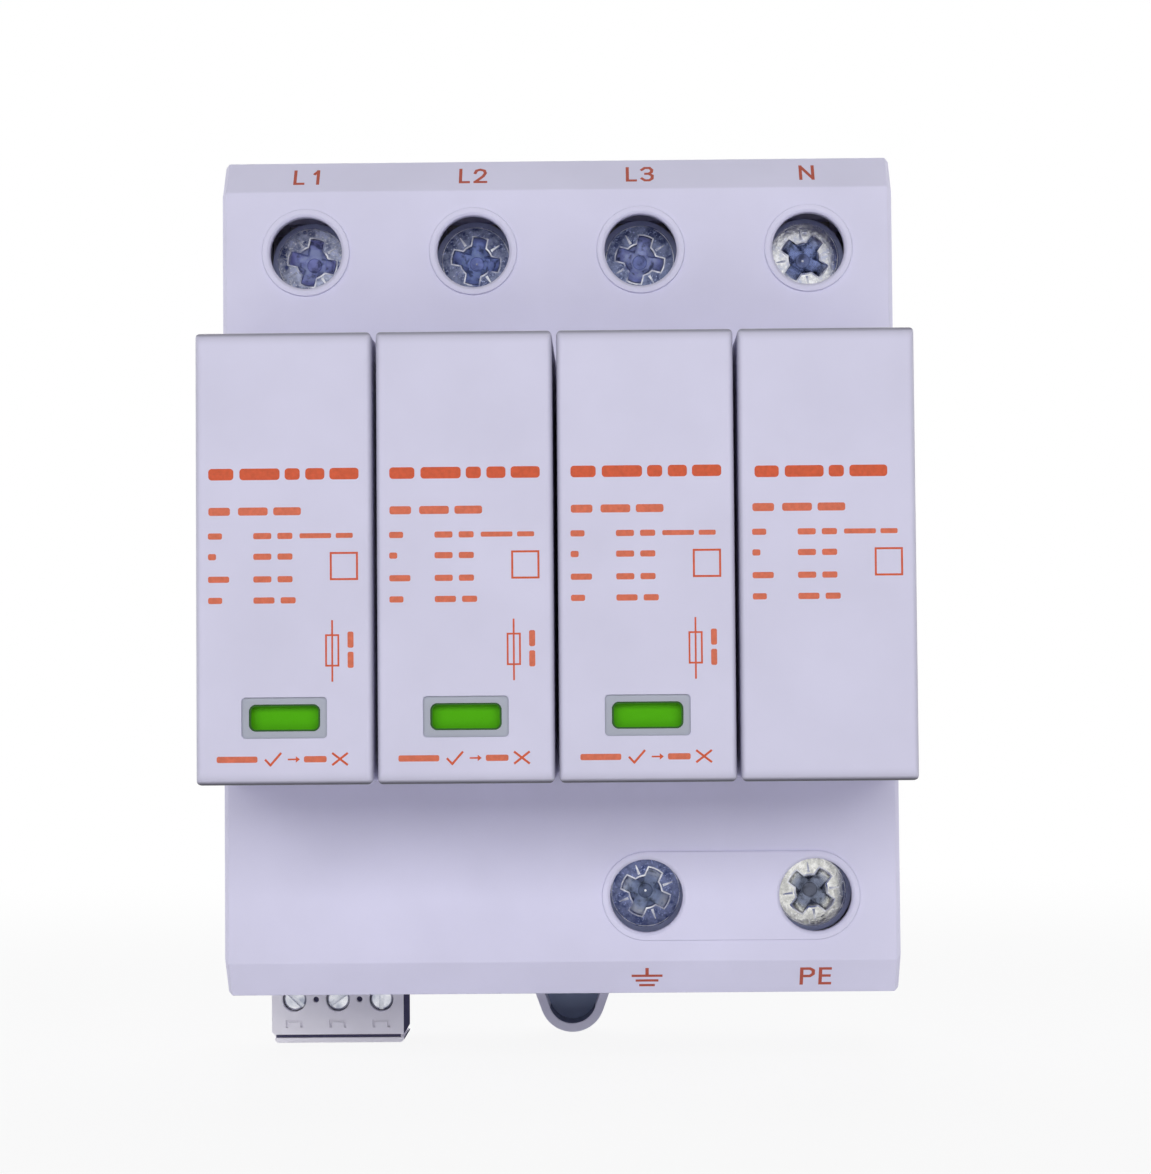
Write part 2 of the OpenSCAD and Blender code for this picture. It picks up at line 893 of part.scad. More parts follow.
// Body of the signal plug with its screw holes, wire funnels and clamp pockets
module signal_plug() {
    groove = 0.45;
    lip = plug_front - 0.5;
    edge = 0.3;
    corner = 0.3;
    half = plug_w / 2;
    color(plastic)
        difference() {
            union() {
                along_d([plug_back, plug_front])
                    polygon([
                        [plug_x - half, plug_top],
                        [plug_x + half, plug_top],
                        [plug_x + half, plug_face],
                        [plug_x - half + edge, plug_face],
                        [plug_x - half, plug_face + edge]
                    ]);
                slab(
                    about(plug_x, plug_w - 2 * edge),
                    [plug_back, lip - groove],
                    [plug_face - groove - 0.1, plug_face + 0.5]
                );
                along_d([plug_back, lip])
                    polygon([
                        [plug_x - half + edge, plug_face - groove],
                        [plug_x + half, plug_face - groove],
                        [plug_x + half, plug_bottom + corner],
                        [plug_x + half - corner, plug_bottom],
                        [plug_x - half + edge + corner, plug_bottom],
                        [plug_x - half + edge, plug_bottom + corner]
                    ]);
            }
            for (i = [1:3])
                plug_pocket(i);
            for (i = [1:2])
                rod(signal_x(i) + plug_pitch / 2, plug_screw_z, [plug_front - 0.8, plug_front + 1], 0.35);
        }
}

// Hollows of one signal pole
module plug_pocket(i) {
    low = plug_screw_z - small_h / 2 - fit;
    high = plug_screw_z + small_h / 2 + fit;
    mark_z = plug_face + 1.25;
    rod(signal_x(i), plug_screw_z, [small_under - 1, plug_front + 1], plug_hole_d / 2);
    slab(about(signal_x(i), pocket_w), [small_back - fit, small_under], [low, high]);
    slab(about(signal_x(i), 2.8), [small_tongue_back - fit, pin_d + 1.6], [high - 0.5, plug_top + 1]);
    translate([signal_x(i), -(small_tongue_back + small_back + 0.7) / 2, plug_bottom - 1])
        cylinder(h = low - plug_bottom + 2, r = 1.3);
    difference() {
        slab(about(signal_x(i), 2), [plug_front - 0.4, plug_front + 1], about(mark_z, 0.9));
        slab(about(signal_x(i), 1.4), [plug_front - 1, plug_front + 2], [mark_z - 1, mark_z + 0.15]);
    }
}

// Contacts of the plug: a tongue under each clamp and a fork for the pin
module plug_contacts() {
    fork = [pin_d + pin_w / 2 + seat, pin_d + pin_w / 2 + seat + 0.6];
    low = plug_screw_z + small_h / 2 + 0.5;
    color(copper)
        for (i = [1:3]) {
            slab(
                about(signal_x(i), 2.2),
                [small_tongue_back, small_tongue],
                [plug_screw_z - small_h / 2, plug_top - 0.5]
            );
            slab(about(signal_x(i), 2.2), [small_tongue_back, fork[1]], [low, low + 0.6]);
            slab(about(signal_x(i), 2.2), fork, [low, plug_top - 0.5]);
        }
}

module plug_screw(i) {
    r = plug_hole_d / 2 - 0.1;
    tip = small_tongue + seat;
    color(steel)
        translate([signal_x(i), 0, plug_screw_z])
            rotate([90, 0, 0])
                difference() {
                    rotate_extrude()
                        polygon([
                            [0, tip],
                            [1, tip],
                            [1, small_under],
                            [r, small_under],
                            [r, small_top - 0.2],
                            [r - 0.2, small_top],
                            [0, small_top]
                        ]);
                    rotate(plug_turn[i - 1])
                        translate([-r - 1, -0.25, small_top - 0.5])
                            cube([2 * r + 2, 0.5, 1]);
                }
}

module plug_clamp(i) {
    wide = about(plug_screw_z, small_h);
    color(steel)
        difference() {
            slab(about(signal_x(i), pocket_w - 2 * fit), [small_back, small_front], wide);
            slab(
                about(signal_x(i), pocket_w - 2 * fit - 1.2),
                [small_back + 0.7, small_in],
                [wide[0] - 1, wide[1] + 1]
            );
            rod(signal_x(i), plug_screw_z, [small_in - 1, small_front + 1], 1.05);
        }
}

// Outer form of a module head: three rounded profiles cut from one another
module head_form(i) {
    translate([pole_x(i), 0, 0])
        intersection() {
            along_d([head_back, front_depth])
                round_rect(head_w, head_h, head_corner_r);
            along_z(about(0, head_h))
                round_front(head_w, [-front_depth, -head_back], head_edge_r);
            rotate([0, 90, 0])
                along_z(about(0, head_w))
                    round_front(head_h, [-front_depth, -head_back], head_edge_r);
        }
}

// Sunk frame and window of the indicator
module indicator_opening(i) {
    translate([pole_x(i), 0, -window_drop]) {
        along_d([cavity_front - 1, front_depth + 1])
            round_rect(window_w, window_h, 0.7);
        along_d([front_depth - frame_sink, front_depth + 1])
            round_rect(frame_w, frame_h, 0.4);
    }
}

// Cover of a module: head, inserted body, grip grooves and, with an indicator, its window
module module_cover(i) {
    indicator = i < 3;
    color(plastic) {
        difference() {
            union() {
                head_form(i);
                slab(about(pole_x(i), body_w), [body_back, head_back + 0.5], about(0, body_h));
            }
            slab(about(pole_x(i), cavity_w), [body_back - 1, cavity_front], about(0, cavity_h));
            for (s = [-1, 1], k = [0:4])
                slab(
                    about(pole_x(i), head_w - 6),
                    about(front_depth - 5 - 2.4 * k, 1.2),
                    about(s * head_h / 2, 0.8)
                );
            if (indicator)
                indicator_opening(i);
        }
        if (indicator)
            for (s = [-1, 1])
                slab(
                    about(pole_x(i) + s * (guide_in + 0.5), 1),
                    [guide_back, cavity_front + 0.5],
                    [-window_drop - flag_h / 2, -window_drop + flag_h / 2 + flag_stroke]
                );
    }
}

// Carrier that closes the module at the back and holds the blades
module module_carrier(i) {
    color(foot_plastic)
        difference() {
            union() {
                slab(about(pole_x(i), cavity_w - fit), [body_back, carrier_front], about(0, cavity_h - fit));
                for (z = [-post_z, post_z])
                    slab(
                        about(pole_x(i), post_w),
                        [carrier_front - 0.5, i < 3 ? varistor_back : blade_head],
                        about(z, post_h)
                    );
            }
            for (z = [-blade_z, blade_z])
                slab(about(pole_x(i), blade_t), [body_back - 1, carrier_front + 1], about(z, blade_w));
            if (i < 3)
                rod(pole_x(i), bar_z, [body_back - 1, carrier_front + 1], 1.1);
        }
}

// One blade with tapered tip, drawn in (Y, Z)
module blade(i, z) {
    wide = blade_w + 2;
    along_x(pole_x(i), blade_t)
        polygon([
            [-blade_head, z - wide / 2],
            [-carrier_front, z - wide / 2],
            [-carrier_front, z - blade_w / 2],
            [-blade_tip - 1, z - blade_w / 2],
            [-blade_tip, z - blade_w / 2 + 1],
            [-blade_tip, z + blade_w / 2 - 1],
            [-blade_tip - 1, z + blade_w / 2],
            [-carrier_front, z + blade_w / 2],
            [-carrier_front, z + wide / 2],
            [-blade_head, z + wide / 2]
        ]);
}

// Flat arm from a blade head up one face of the varistor
module varistor_arm(i, s, z, h) {
    face = varistor_t / 2;
    translate([pole_x(i), 0, 0])
        along_z(about(z, h))
            polygon([
                [s * -blade_t / 2, -blade_head],
                [s * -blade_t / 2, -varistor_back],
                [s * face, -varistor_back],
                [s * face, -varistor_back - varistor_d * 0.6],
                [s * (face + arm_t), -varistor_back - varistor_d * 0.6],
                [s * (face + arm_t), -blade_head]
            ]);
}

// Both blades of a module; the upper one carries the fixed arm of the varistor
module module_blades(i) {
    gap_end = varistor_h / 2;
    color(copper) {
        blade(i, blade_z);
        blade(i, -blade_z);
        if (i < 3)
            varistor_arm(i, 1, blade_z - 4, blade_w);
        else
            for (s = [-1, 1])
                slab(
                    about(pole_x(3), blade_w - 2),
                    [blade_head, front_depth - 18],
                    s > 0 ? [gap_end, gap_end + arm_t] : [-gap_end - arm_t, -gap_end]
                );
    }
}

module module_varistor(i) {
    color(black)
        along_x(pole_x(i), varistor_t)
            translate([-varistor_back - varistor_d / 2, 0])
                round_rect(varistor_d, varistor_h, 3);
}

// Sprung arm that opens when the varistor overheats
module module_disconnector(i) {
    color(copper)
        varistor_arm(i, -1, -blade_z + 4, blade_w - 2);
}

// Spark gap between neutral and earth, lying along Z between two end caps
module module_spark_gap() {
    r = gap_d / 2;
    half = varistor_h / 2;
    color(black)
        translate([pole_x(3), -blade_head - 8, 0])
            rotate_extrude()
                polygon([
                    [0, -half],
                    [r - 0.8, -half],
                    [r - 0.8, -half + 3],
                    [r, -half + 3],
                    [r, half - 3],
                    [r - 0.8, half - 3],
                    [r - 0.8, half],
                    [0, half]
                ]);
}

module module_flag(i) {
    color([0.3, 0.65, 0.1])
        slab(about(pole_x(i), flag_w), [flag_back, flag_front], about(-window_drop, flag_h));
}

module module_red_field(i) {
    color([0.75, 0.12, 0.1])
        slab(about(pole_x(i), 2 * guide_in + 2), [guide_back - 0.8, guide_back], about(-window_drop, flag_h));
}

base_housing();
rail_foot();
rail_latch();
latch_spring();
neutral_bar();
earth_bar();
signal_switch();
signal_header();
signal_pins();
signal_bar();
signal_plug();
plug_contacts();
module_spark_gap();  // module_n_spark_gap
for (i = [0:5]) {
    terminal_screw(i);
    clamp_cage(i);
}
for (i = [1:3]) {
    plug_screw(i);
    plug_clamp(i);
}
for (i = [0:3]) {
    module_cover(i);
    module_carrier(i);
    module_blades(i);
}
for (i = [0:2]) {
    line_contact(i);
    module_varistor(i);
    module_disconnector(i);
    module_flag(i);
    module_red_field(i);
}
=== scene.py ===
"""DIN rail surge arrester: finishes, print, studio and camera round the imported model."""
import math

import bmesh
import bpy
from mathutils import Matrix, Vector


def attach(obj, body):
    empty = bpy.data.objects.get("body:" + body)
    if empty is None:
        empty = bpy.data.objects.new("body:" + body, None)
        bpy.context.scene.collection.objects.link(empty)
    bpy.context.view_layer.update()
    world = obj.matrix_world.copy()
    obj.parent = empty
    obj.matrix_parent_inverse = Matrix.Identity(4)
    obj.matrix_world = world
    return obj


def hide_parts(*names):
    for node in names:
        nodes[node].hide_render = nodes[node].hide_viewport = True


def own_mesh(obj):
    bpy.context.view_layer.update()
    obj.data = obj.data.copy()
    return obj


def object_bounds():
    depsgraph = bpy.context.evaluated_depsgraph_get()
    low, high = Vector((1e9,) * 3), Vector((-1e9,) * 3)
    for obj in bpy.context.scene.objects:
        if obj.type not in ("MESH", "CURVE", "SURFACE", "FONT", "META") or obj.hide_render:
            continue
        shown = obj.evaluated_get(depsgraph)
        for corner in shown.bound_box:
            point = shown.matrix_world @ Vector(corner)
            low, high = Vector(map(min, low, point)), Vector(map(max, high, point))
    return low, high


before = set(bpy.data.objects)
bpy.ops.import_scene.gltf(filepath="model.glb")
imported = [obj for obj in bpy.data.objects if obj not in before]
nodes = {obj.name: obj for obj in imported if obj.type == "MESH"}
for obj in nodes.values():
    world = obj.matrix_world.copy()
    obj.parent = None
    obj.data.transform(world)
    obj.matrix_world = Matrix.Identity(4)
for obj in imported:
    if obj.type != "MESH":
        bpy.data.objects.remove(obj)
cad_low, cad_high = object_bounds()

# Sizes are in mm, in the part's frame: X along the rail, Y back to the rail, Z up
MM = 0.001
PITCH = 18.0
POLES = {"l1": -27.0, "l2": -9.0, "l3": 9.0, "n": 27.0}
MODULE_FRONT = -66.0
MODULE_TOP = 22.5
FRAME_FLOOR = -65.65
WINDOW_Z = -15.85
INK = 0.015
LINER = 0.03

# Terminal screws: x and z of the axis, and the turn of the recess in degrees
TERMINALS = {
    "l1": (-27.0, 34.0, -13.0),
    "l2": (-9.0, 34.0, -11.0),
    "l3": (9.0, 34.0, -15.0),
    "n": (27.0, 34.0, 54.0),
    "pe1": (9.0, -35.2, 65.0),
    "pe2": (27.0, -35.2, -38.0),
}
# Screws with a painted reflection at the centre of the recess
CENTRE_REFLECTED = ("l2", "n", "pe1")
HEAD_FACE = -36.5
# Radii between which the face of a head turns into its round edge
HEAD_FLAT, HEAD_ROUND = 3.76, 3.86
# Recess: half the width of an arm, radius of its ends and of its middle, and its depth
RECESS_ARM, RECESS_REACH, RECESS_MIDDLE = 0.75, 2.65, 1.7
RECESS_DEEP = 2.2


# Shader building blocks


def shader(name):
    """A new material with its tree and its principled shader."""
    mat = bpy.data.materials.new(name)
    mat.use_nodes = True
    return mat, mat.node_tree, mat.node_tree.nodes["Principled BSDF"]


def noise(tree, scale, detail=2.0, stretch=None):
    """Noise in the part's own coordinates: scale is in features per metre."""
    coords = tree.nodes.new("ShaderNodeTexCoord").outputs["Object"]
    if stretch:
        mapping = tree.nodes.new("ShaderNodeMapping")
        mapping.inputs["Scale"].default_value = stretch
        tree.links.new(coords, mapping.inputs["Vector"])
        coords = mapping.outputs["Vector"]
    tex = tree.nodes.new("ShaderNodeTexNoise")
    tex.inputs["Scale"].default_value = scale
    tex.inputs["Detail"].default_value = detail
    tree.links.new(coords, tex.inputs["Vector"])
    return tex.outputs[0]


def ramp(tree, factor, stops):
    """Colours along a factor: stops are (position, (r, g, b))."""
    node = tree.nodes.new("ShaderNodeValToRGB")
    elements = node.color_ramp.elements
    while len(elements) < len(stops):
        elements.new(0.5)
    for element, (position, colour) in zip(elements, stops):
        element.position = position
        element.color = (*colour, 1.0)
    tree.links.new(factor, node.inputs["Fac"])
    return node.outputs["Color"]


def spread(tree, factor, low, high, start=0.25, end=0.75, smooth=False):
    """A factor between start and end turned into a value between low and high."""
    node = tree.nodes.new("ShaderNodeMapRange")
    if smooth:
        node.interpolation_type = "SMOOTHSTEP"
    node.inputs["From Min"].default_value = start
    node.inputs["From Max"].default_value = end
    node.inputs["To Min"].default_value = low
    node.inputs["To Max"].default_value = high
    tree.links.new(factor, node.inputs["Value"])
    return node.outputs["Result"]


def between(tree, place, start, end, low=0.0, high=1.0):
    """A value that goes from low to high as a place goes from start to end, both in mm."""
    return spread(tree, place, low, high, start * MM, end * MM)


def place_of(tree):
    """The three coordinates of a point in the part's frame, in metres."""
    coords = tree.nodes.new("ShaderNodeTexCoord").outputs["Object"]
    split = tree.nodes.new("ShaderNodeSeparateXYZ")
    tree.links.new(coords, split.inputs[0])
    return split.outputs["X"], split.outputs["Y"], split.outputs["Z"]


def blend(tree, factor, under, over):
    """One colour over another by a factor: a colour is an output or a plain (r, g, b)."""
    node = tree.nodes.new("ShaderNodeMix")
    node.data_type = "RGBA"
    tree.links.new(factor, node.inputs[0])
    for socket, colour in ((node.inputs[6], under), (node.inputs[7], over)):
        if isinstance(colour, tuple):
            socket.default_value = (*colour, 1.0)
        else:
            tree.links.new(colour, socket)
    return node.outputs[2]


def bump(tree, height, strength, depth, under=None):
    """Surface relief of a depth in mm; under is another relief to lie on."""
    node = tree.nodes.new("ShaderNodeBump")
    node.inputs["Strength"].default_value = strength
    node.inputs["Distance"].default_value = depth * MM
    tree.links.new(height, node.inputs["Height"])
    if under:
        tree.links.new(under, node.inputs["Normal"])
    return node.outputs["Normal"]


def calc(tree, operation, first, second=None):
    """A sum on one or two values: each is an output or a plain number."""
    node = tree.nodes.new("ShaderNodeMath")
    node.operation = operation
    for socket, value in zip(node.inputs, (first, second)):
        if isinstance(value, (int, float)):
            socket.default_value = value
        elif value is not None:
            tree.links.new(value, socket)
    return node.outputs[0]


def srgb(r, g, b):
    """Linear colour of an 8-bit screen colour."""
    return tuple(
        c / 12.92 if c <= 0.04045 else ((c + 0.055) / 1.055) ** 2.4
        for c in (r / 255, g / 255, b / 255)
    )


def tint(colour, factor):
    """A colour made lighter or darker by a factor."""
    return tuple(min(1.0, c * factor) for c in colour)


# Finishes


def module_front(tree, y):
    """1 on the front of the modules, falling to 0 behind their rounded edges."""
    return between(tree, y, MODULE_FRONT + 0.4, MODULE_FRONT + 1.2, 1.0, 0.0)


def module_edge_shade(tree):
    """Painted shade: 1 on the front edges of the modules, falling to 0 a little way in."""
    x, y, z = place_of(tree)
    from_gap = calc(tree, "PINGPONG", calc(tree, "ADD", x, 2 * PITCH * MM), PITCH / 2 * MM)
    sides = between(tree, from_gap, 0.2, 0.75, 1.0, 0.0)
    ends = between(tree, calc(tree, "ABSOLUTE", z), MODULE_TOP - 1.4, MODULE_TOP)
    edges = calc(tree, "POWER", calc(tree, "MAXIMUM", sides, ends), 2.0)
    return calc(tree, "MULTIPLY", edges, module_front(tree, y))


def upper_edge_shade(tree):
    """Painted shade: 1 along the upper front edge of the modules."""
    _, y, z = place_of(tree)
    near_top = between(tree, z, MODULE_TOP - 0.4, MODULE_TOP - 0.1)
    return calc(tree, "MULTIPLY", near_top, module_front(tree, y))


def lower_edge_shade(tree):
    """Painted shade: 1 along the lower front edge of the modules."""
    _, y, z = place_of(tree)
    near_bottom = between(tree, z, 0.1 - MODULE_TOP, 0.45 - MODULE_TOP, 1.0, 0.0)
    return calc(tree, "MULTIPLY", near_bottom, module_front(tree, y))


def moulded(name, colour, rough=0.5, grain=0.12, level=0.22, painted_shade=()):
    """Moulded plastic: faint flow clouds in its colour, a fine eroded grain and a soft waviness.

    The last argument lists where shade is painted into the colour: a factor and the share of the
    colour that is left there.
    """
    mat, tree, bsdf = shader(name)
    clouds = noise(tree, 90, 3)
    fine = noise(tree, 5200, 2)
    tone = ramp(tree, clouds, [(0.3, tint(colour, 0.965)), (0.7, tint(colour, 1.025))])
    for place, left in painted_shade:
        tone = blend(tree, place(tree), tone, tint(colour, left))
    tree.links.new(tone, bsdf.inputs["Base Color"])
    tree.links.new(spread(tree, fine, rough - 0.06, rough + 0.06), bsdf.inputs["Roughness"])
    waves = bump(tree, noise(tree, 160, 1), 0.05, 0.2)
    tree.links.new(bump(tree, fine, grain, 0.03, waves), bsdf.inputs["Normal"])
    bsdf.inputs["Specular IOR Level"].default_value = level
    return mat


def zinc(name, dark, light, rough=0.38):
    """Passivated zinc plating: mottled tone, faint turning marks and patches of gloss."""
    mat, tree, bsdf = shader(name)
    patches = noise(tree, 700, 5)
    gloss = noise(tree, 1500, 3)
    tree.links.new(ramp(tree, patches, [(0.32, dark), (0.68, light)]), bsdf.inputs["Base Color"])
    tree.links.new(spread(tree, gloss, rough - 0.1, rough + 0.12), bsdf.inputs["Roughness"])
    marks = bump(tree, noise(tree, 2600, 3), 0.25, 0.04)
    tree.links.new(bump(tree, patches, 0.2, 0.08, marks), bsdf.inputs["Normal"])
    bsdf.inputs["Metallic"].default_value = 1.0
    return mat


def from_axis(tree, x, z, axis_x, axis_z):
    """Distance of a point from an axis that runs along Y: the axis is given in mm."""
    dx = calc(tree, "SUBTRACT", x, axis_x * MM)
    dz = calc(tree, "SUBTRACT", z, axis_z * MM)
    squares = calc(tree, "ADD", calc(tree, "MULTIPLY", dx, dx), calc(tree, "MULTIPLY", dz, dz))
    return calc(tree, "SQRT", squares)


def screw_zinc(terminal, face, inside, rough=(0.3, 0.48), shade=None):
    """Passivated zinc of one terminal screw: a mottled head with painted glints, a painted lit edge
    and a recess.

    face is the dark and the light tone of the head, inside the tones of the recess walls, of the
    ends of its arms and of its floor, which paint the light and shade inside the recess. shade is a
    distance in mm right of the axis and the tone of the painted shade on the head from there on.
    """
    dark, light = face
    walls, tips, floor = inside
    axis_x, axis_z, _ = TERMINALS[terminal]
    mat, tree, bsdf = shader(f"screw_{terminal}")
    x, y, z = place_of(tree)
    radius = from_axis(tree, x, z, axis_x, axis_z)
    patches = noise(tree, 1300, 6)
    fine = noise(tree, 4200, 4)
    stains = noise(tree, 1100, 5)

    def stained(tone):
        """A tone of the recess with its pale and dark patches."""
        stops = [(0.42, tint(tone, 1.25)), (0.54, tone), (0.65, tint(tone, 0.42))]
        return ramp(tree, stains, stops)

    colour = ramp(tree, patches, [(0.34, dark), (0.52, tint(light, 0.72)), (0.66, light)])
    # Painted shade over the right-hand part of the head
    if shade:
        start, shade_tone = shade
        beyond = between(tree, x, axis_x + start, axis_x + start + 0.9)
        colour = blend(tree, beyond, colour, shade_tone)
    # Painted light and shade in the recess: its walls, the ends of its arms and its floor take their
    # own tones
    below = between(tree, y, HEAD_FACE + 0.04, HEAD_FACE + 0.3)
    colour = blend(tree, below, colour, stained(walls))
    ends = calc(tree, "MULTIPLY", below, between(tree, radius, 1.6, 2.2))
    colour = blend(tree, ends, colour, stained(tips))
    bottom = HEAD_FACE + RECESS_DEEP
    colour = blend(tree, between(tree, y, bottom - 0.1, bottom - 0.02), colour, stained(floor))
    # Painted light on the round edge of the head: a lighter tone there
    colour = blend(tree, between(tree, radius, HEAD_FLAT, HEAD_ROUND), colour, LIT_HEAD_EDGE)
    on_face = calc(tree, "SUBTRACT", 1.0, below)
    # Painted glints: white specks on the face of the head
    painted_glint = calc(tree, "MULTIPLY", on_face, spread(tree, fine, 0.0, 0.65, 0.57, 0.7))
    colour = blend(tree, painted_glint, colour, tint(light, 1.9))
    # The round edge is made less metallic so that it takes diffuse light, as painted light
    metallic = between(tree, radius, HEAD_FLAT, HEAD_ROUND, 1.0, 0.2)
    tree.links.new(colour, bsdf.inputs["Base Color"])
    tree.links.new(spread(tree, patches, *rough), bsdf.inputs["Roughness"])
    tree.links.new(metallic, bsdf.inputs["Metallic"])
    marks = bump(tree, fine, 0.35, 0.04)
    tree.links.new(bump(tree, patches, 0.3, 0.1, marks), bsdf.inputs["Normal"])
    return mat


def rolled(name, dark, light):
    """Rolled strip: streaks along the rolling direction and a satin surface."""
    mat, tree, bsdf = shader(name)
    streaks = noise(tree, 900, 4, (1.0, 1.0, 0.06))
    tree.links.new(ramp(tree, streaks, [(0.3, dark), (0.7, light)]), bsdf.inputs["Base Color"])
    tree.links.new(spread(tree, streaks, 0.28, 0.42), bsdf.inputs["Roughness"])
    tree.links.new(bump(tree, streaks, 0.1, 0.03), bsdf.inputs["Normal"])
    bsdf.inputs["Metallic"].default_value = 1.0
    return mat


def coated(name, dark, light):
    """Dipped epoxy coat: orange peel and a soft gloss."""
    mat, tree, bsdf = shader(name)
    peel = noise(tree, 700, 3)
    tree.links.new(ramp(tree, peel, [(0.3, dark), (0.7, light)]), bsdf.inputs["Base Color"])
    tree.links.new(spread(tree, peel, 0.3, 0.42), bsdf.inputs["Roughness"])
    tree.links.new(bump(tree, peel, 0.3, 0.1), bsdf.inputs["Normal"])
    return mat


def printed(name, colour):
    """Pad-printed ink: slightly uneven cover and a matt surface."""
    mat, tree, bsdf = shader(name)
    cover = noise(tree, 2600, 3)
    tone = ramp(tree, cover, [(0.3, tint(colour, 0.9)), (0.7, tint(colour, 1.1))])
    tree.links.new(tone, bsdf.inputs["Base Color"])
    tree.links.new(spread(tree, cover, 0.5, 0.62), bsdf.inputs["Roughness"])
    bsdf.inputs["Specular IOR Level"].default_value = 0.3
    return mat


# Lighter tone painted on the round edge of a head, as light on it
LIT_HEAD_EDGE = srgb(176, 184, 212)
GLOSSY = (0.12, 0.3)
finish = {
    "base": moulded("base_plastic", srgb(217, 215, 237)),
    "module": moulded(
        "module_plastic",
        srgb(212, 210, 232),
        0.46,
        # painted shade along the front edges of the modules, darkest in lines at their top and bottom
        painted_shade=((module_edge_shade, 0.55), (upper_edge_shade, 0.34), (lower_edge_shade, 0.1)),
    ),
    "foot": moulded("foot_plastic", srgb(186, 185, 207), 0.52),
    "latch": moulded("latch_plastic", srgb(230, 229, 245), 0.48),
    # Painted shade inside the latch lug
    "lug_shade": moulded("lug_shade", srgb(116, 122, 142), 0.6, 0.2, 0.1),
    "lug_dark_shade": moulded("lug_dark_shade", srgb(168, 182, 206), 0.5, 0.2),
    "plug": moulded("plug_plastic", srgb(248, 246, 254), 0.5),
    # Painted shade in the groove, on the right end and in the test holes of the plug
    "plug_shade": moulded("plug_shade", srgb(88, 86, 112), 0.8, 0.2, 0.0),
    "frame_grey": moulded("frame_grey", srgb(171, 175, 187), 0.55),
    # Painted shade along the edge of a window
    "window_shade": moulded("window_shade", srgb(50, 92, 38), 0.5),
    "black": moulded("black_plastic", srgb(44, 45, 50), 0.45, 0.2),
    "green": moulded("flag_green", srgb(80, 174, 10), 0.32, 0.05, 0.12),
    "red": moulded("field_red", srgb(196, 40, 34), 0.36, 0.05, 0.2),
    # The inside tones of each screw paint the light and shade in its recess; the shade tones of N and
    # PE2 paint shade on the right of the head
    "screw_l1": screw_zinc(
        "l1",
        (srgb(70, 78, 122), srgb(200, 207, 236)),
        (srgb(206, 212, 248), srgb(177, 179, 222), srgb(125, 130, 184)),
    ),
    "screw_l2": screw_zinc(
        "l2",
        (srgb(70, 78, 116), srgb(152, 160, 194)),
        (srgb(199, 210, 249), srgb(177, 187, 228), srgb(114, 125, 180)),
    ),
    "screw_l3": screw_zinc(
        "l3",
        (srgb(70, 78, 116), srgb(148, 158, 196)),
        (srgb(207, 213, 247), srgb(184, 190, 229), srgb(121, 131, 184)),
    ),
    "screw_n": screw_zinc(
        "n",
        (srgb(186, 190, 210), srgb(250, 251, 255)),
        (srgb(168, 177, 206), srgb(172, 178, 198), srgb(93, 102, 140)),
        GLOSSY,
        (2.5, srgb(120, 128, 166)),
    ),
    "screw_pe1": screw_zinc(
        "pe1",
        (srgb(72, 82, 126), srgb(140, 150, 194)),
        (srgb(195, 204, 224), srgb(232, 238, 250), srgb(96, 106, 134)),
    ),
    "screw_pe2": screw_zinc(
        "pe2",
        (srgb(186, 186, 184), srgb(254, 254, 250)),
        (srgb(168, 173, 186), srgb(238, 238, 230), srgb(86, 90, 104)),
        GLOSSY,
        (2.7, srgb(100, 108, 142)),
    ),
    "zinc_bright": zinc("zinc_bright", (0.42, 0.45, 0.54), (0.93, 0.94, 0.97), 0.3),
    # Bright zinc of the painted highlights on the screw heads
    "zinc_highlight": zinc("zinc_highlight", srgb(92, 100, 142), srgb(248, 249, 254), 0.3),
    "clamp": zinc("clamp_steel", (0.34, 0.34, 0.36), (0.62, 0.62, 0.62), 0.36),
    "spring": zinc("spring_wire", (0.35, 0.36, 0.38), (0.6, 0.61, 0.63), 0.3),
    "copper": rolled("spring_copper", (0.56, 0.36, 0.22), (0.78, 0.52, 0.34)),
    "tinned": rolled("contact_metal", (0.44, 0.42, 0.40), (0.58, 0.56, 0.54)),
    "brass": rolled("pin_brass", (0.62, 0.47, 0.24), (0.84, 0.68, 0.38)),
    "varistor": coated("varistor_coat", (0.012, 0.03, 0.10), (0.03, 0.07, 0.2)),
    "ceramic": coated("gap_ceramic", (0.55, 0.54, 0.5), (0.72, 0.71, 0.68)),
    "ink": printed("print_ink", srgb(204, 92, 62)),
    "ink_fine": printed("print_ink_fine", srgb(210, 112, 86)),
    "ink_mark": printed("print_ink_mark", srgb(172, 82, 66)),
}


# Finishes of the solids

WELD_WITHIN = 1e-6
SHARP = math.radians(35.0)


def dress(node, key, edge=0.0):
    """Gives a solid its finish and, with an edge in mm, breaks its sharp edges."""
    obj = nodes[node]
    obj.data.materials.clear()
    obj.data.materials.append(finish[key])
    weld = obj.modifiers.new("weld", "WELD")
    weld.merge_threshold = WELD_WITHIN
    if edge:
        bevel = obj.modifiers.new("edges", "BEVEL")
        bevel.width = edge * MM
        bevel.segments = 2
        bevel.limit_method = "ANGLE"
        bevel.angle_limit = SHARP
    normals = obj.modifiers.new("normals", "WEIGHTED_NORMAL")
    normals.keep_sharp = True


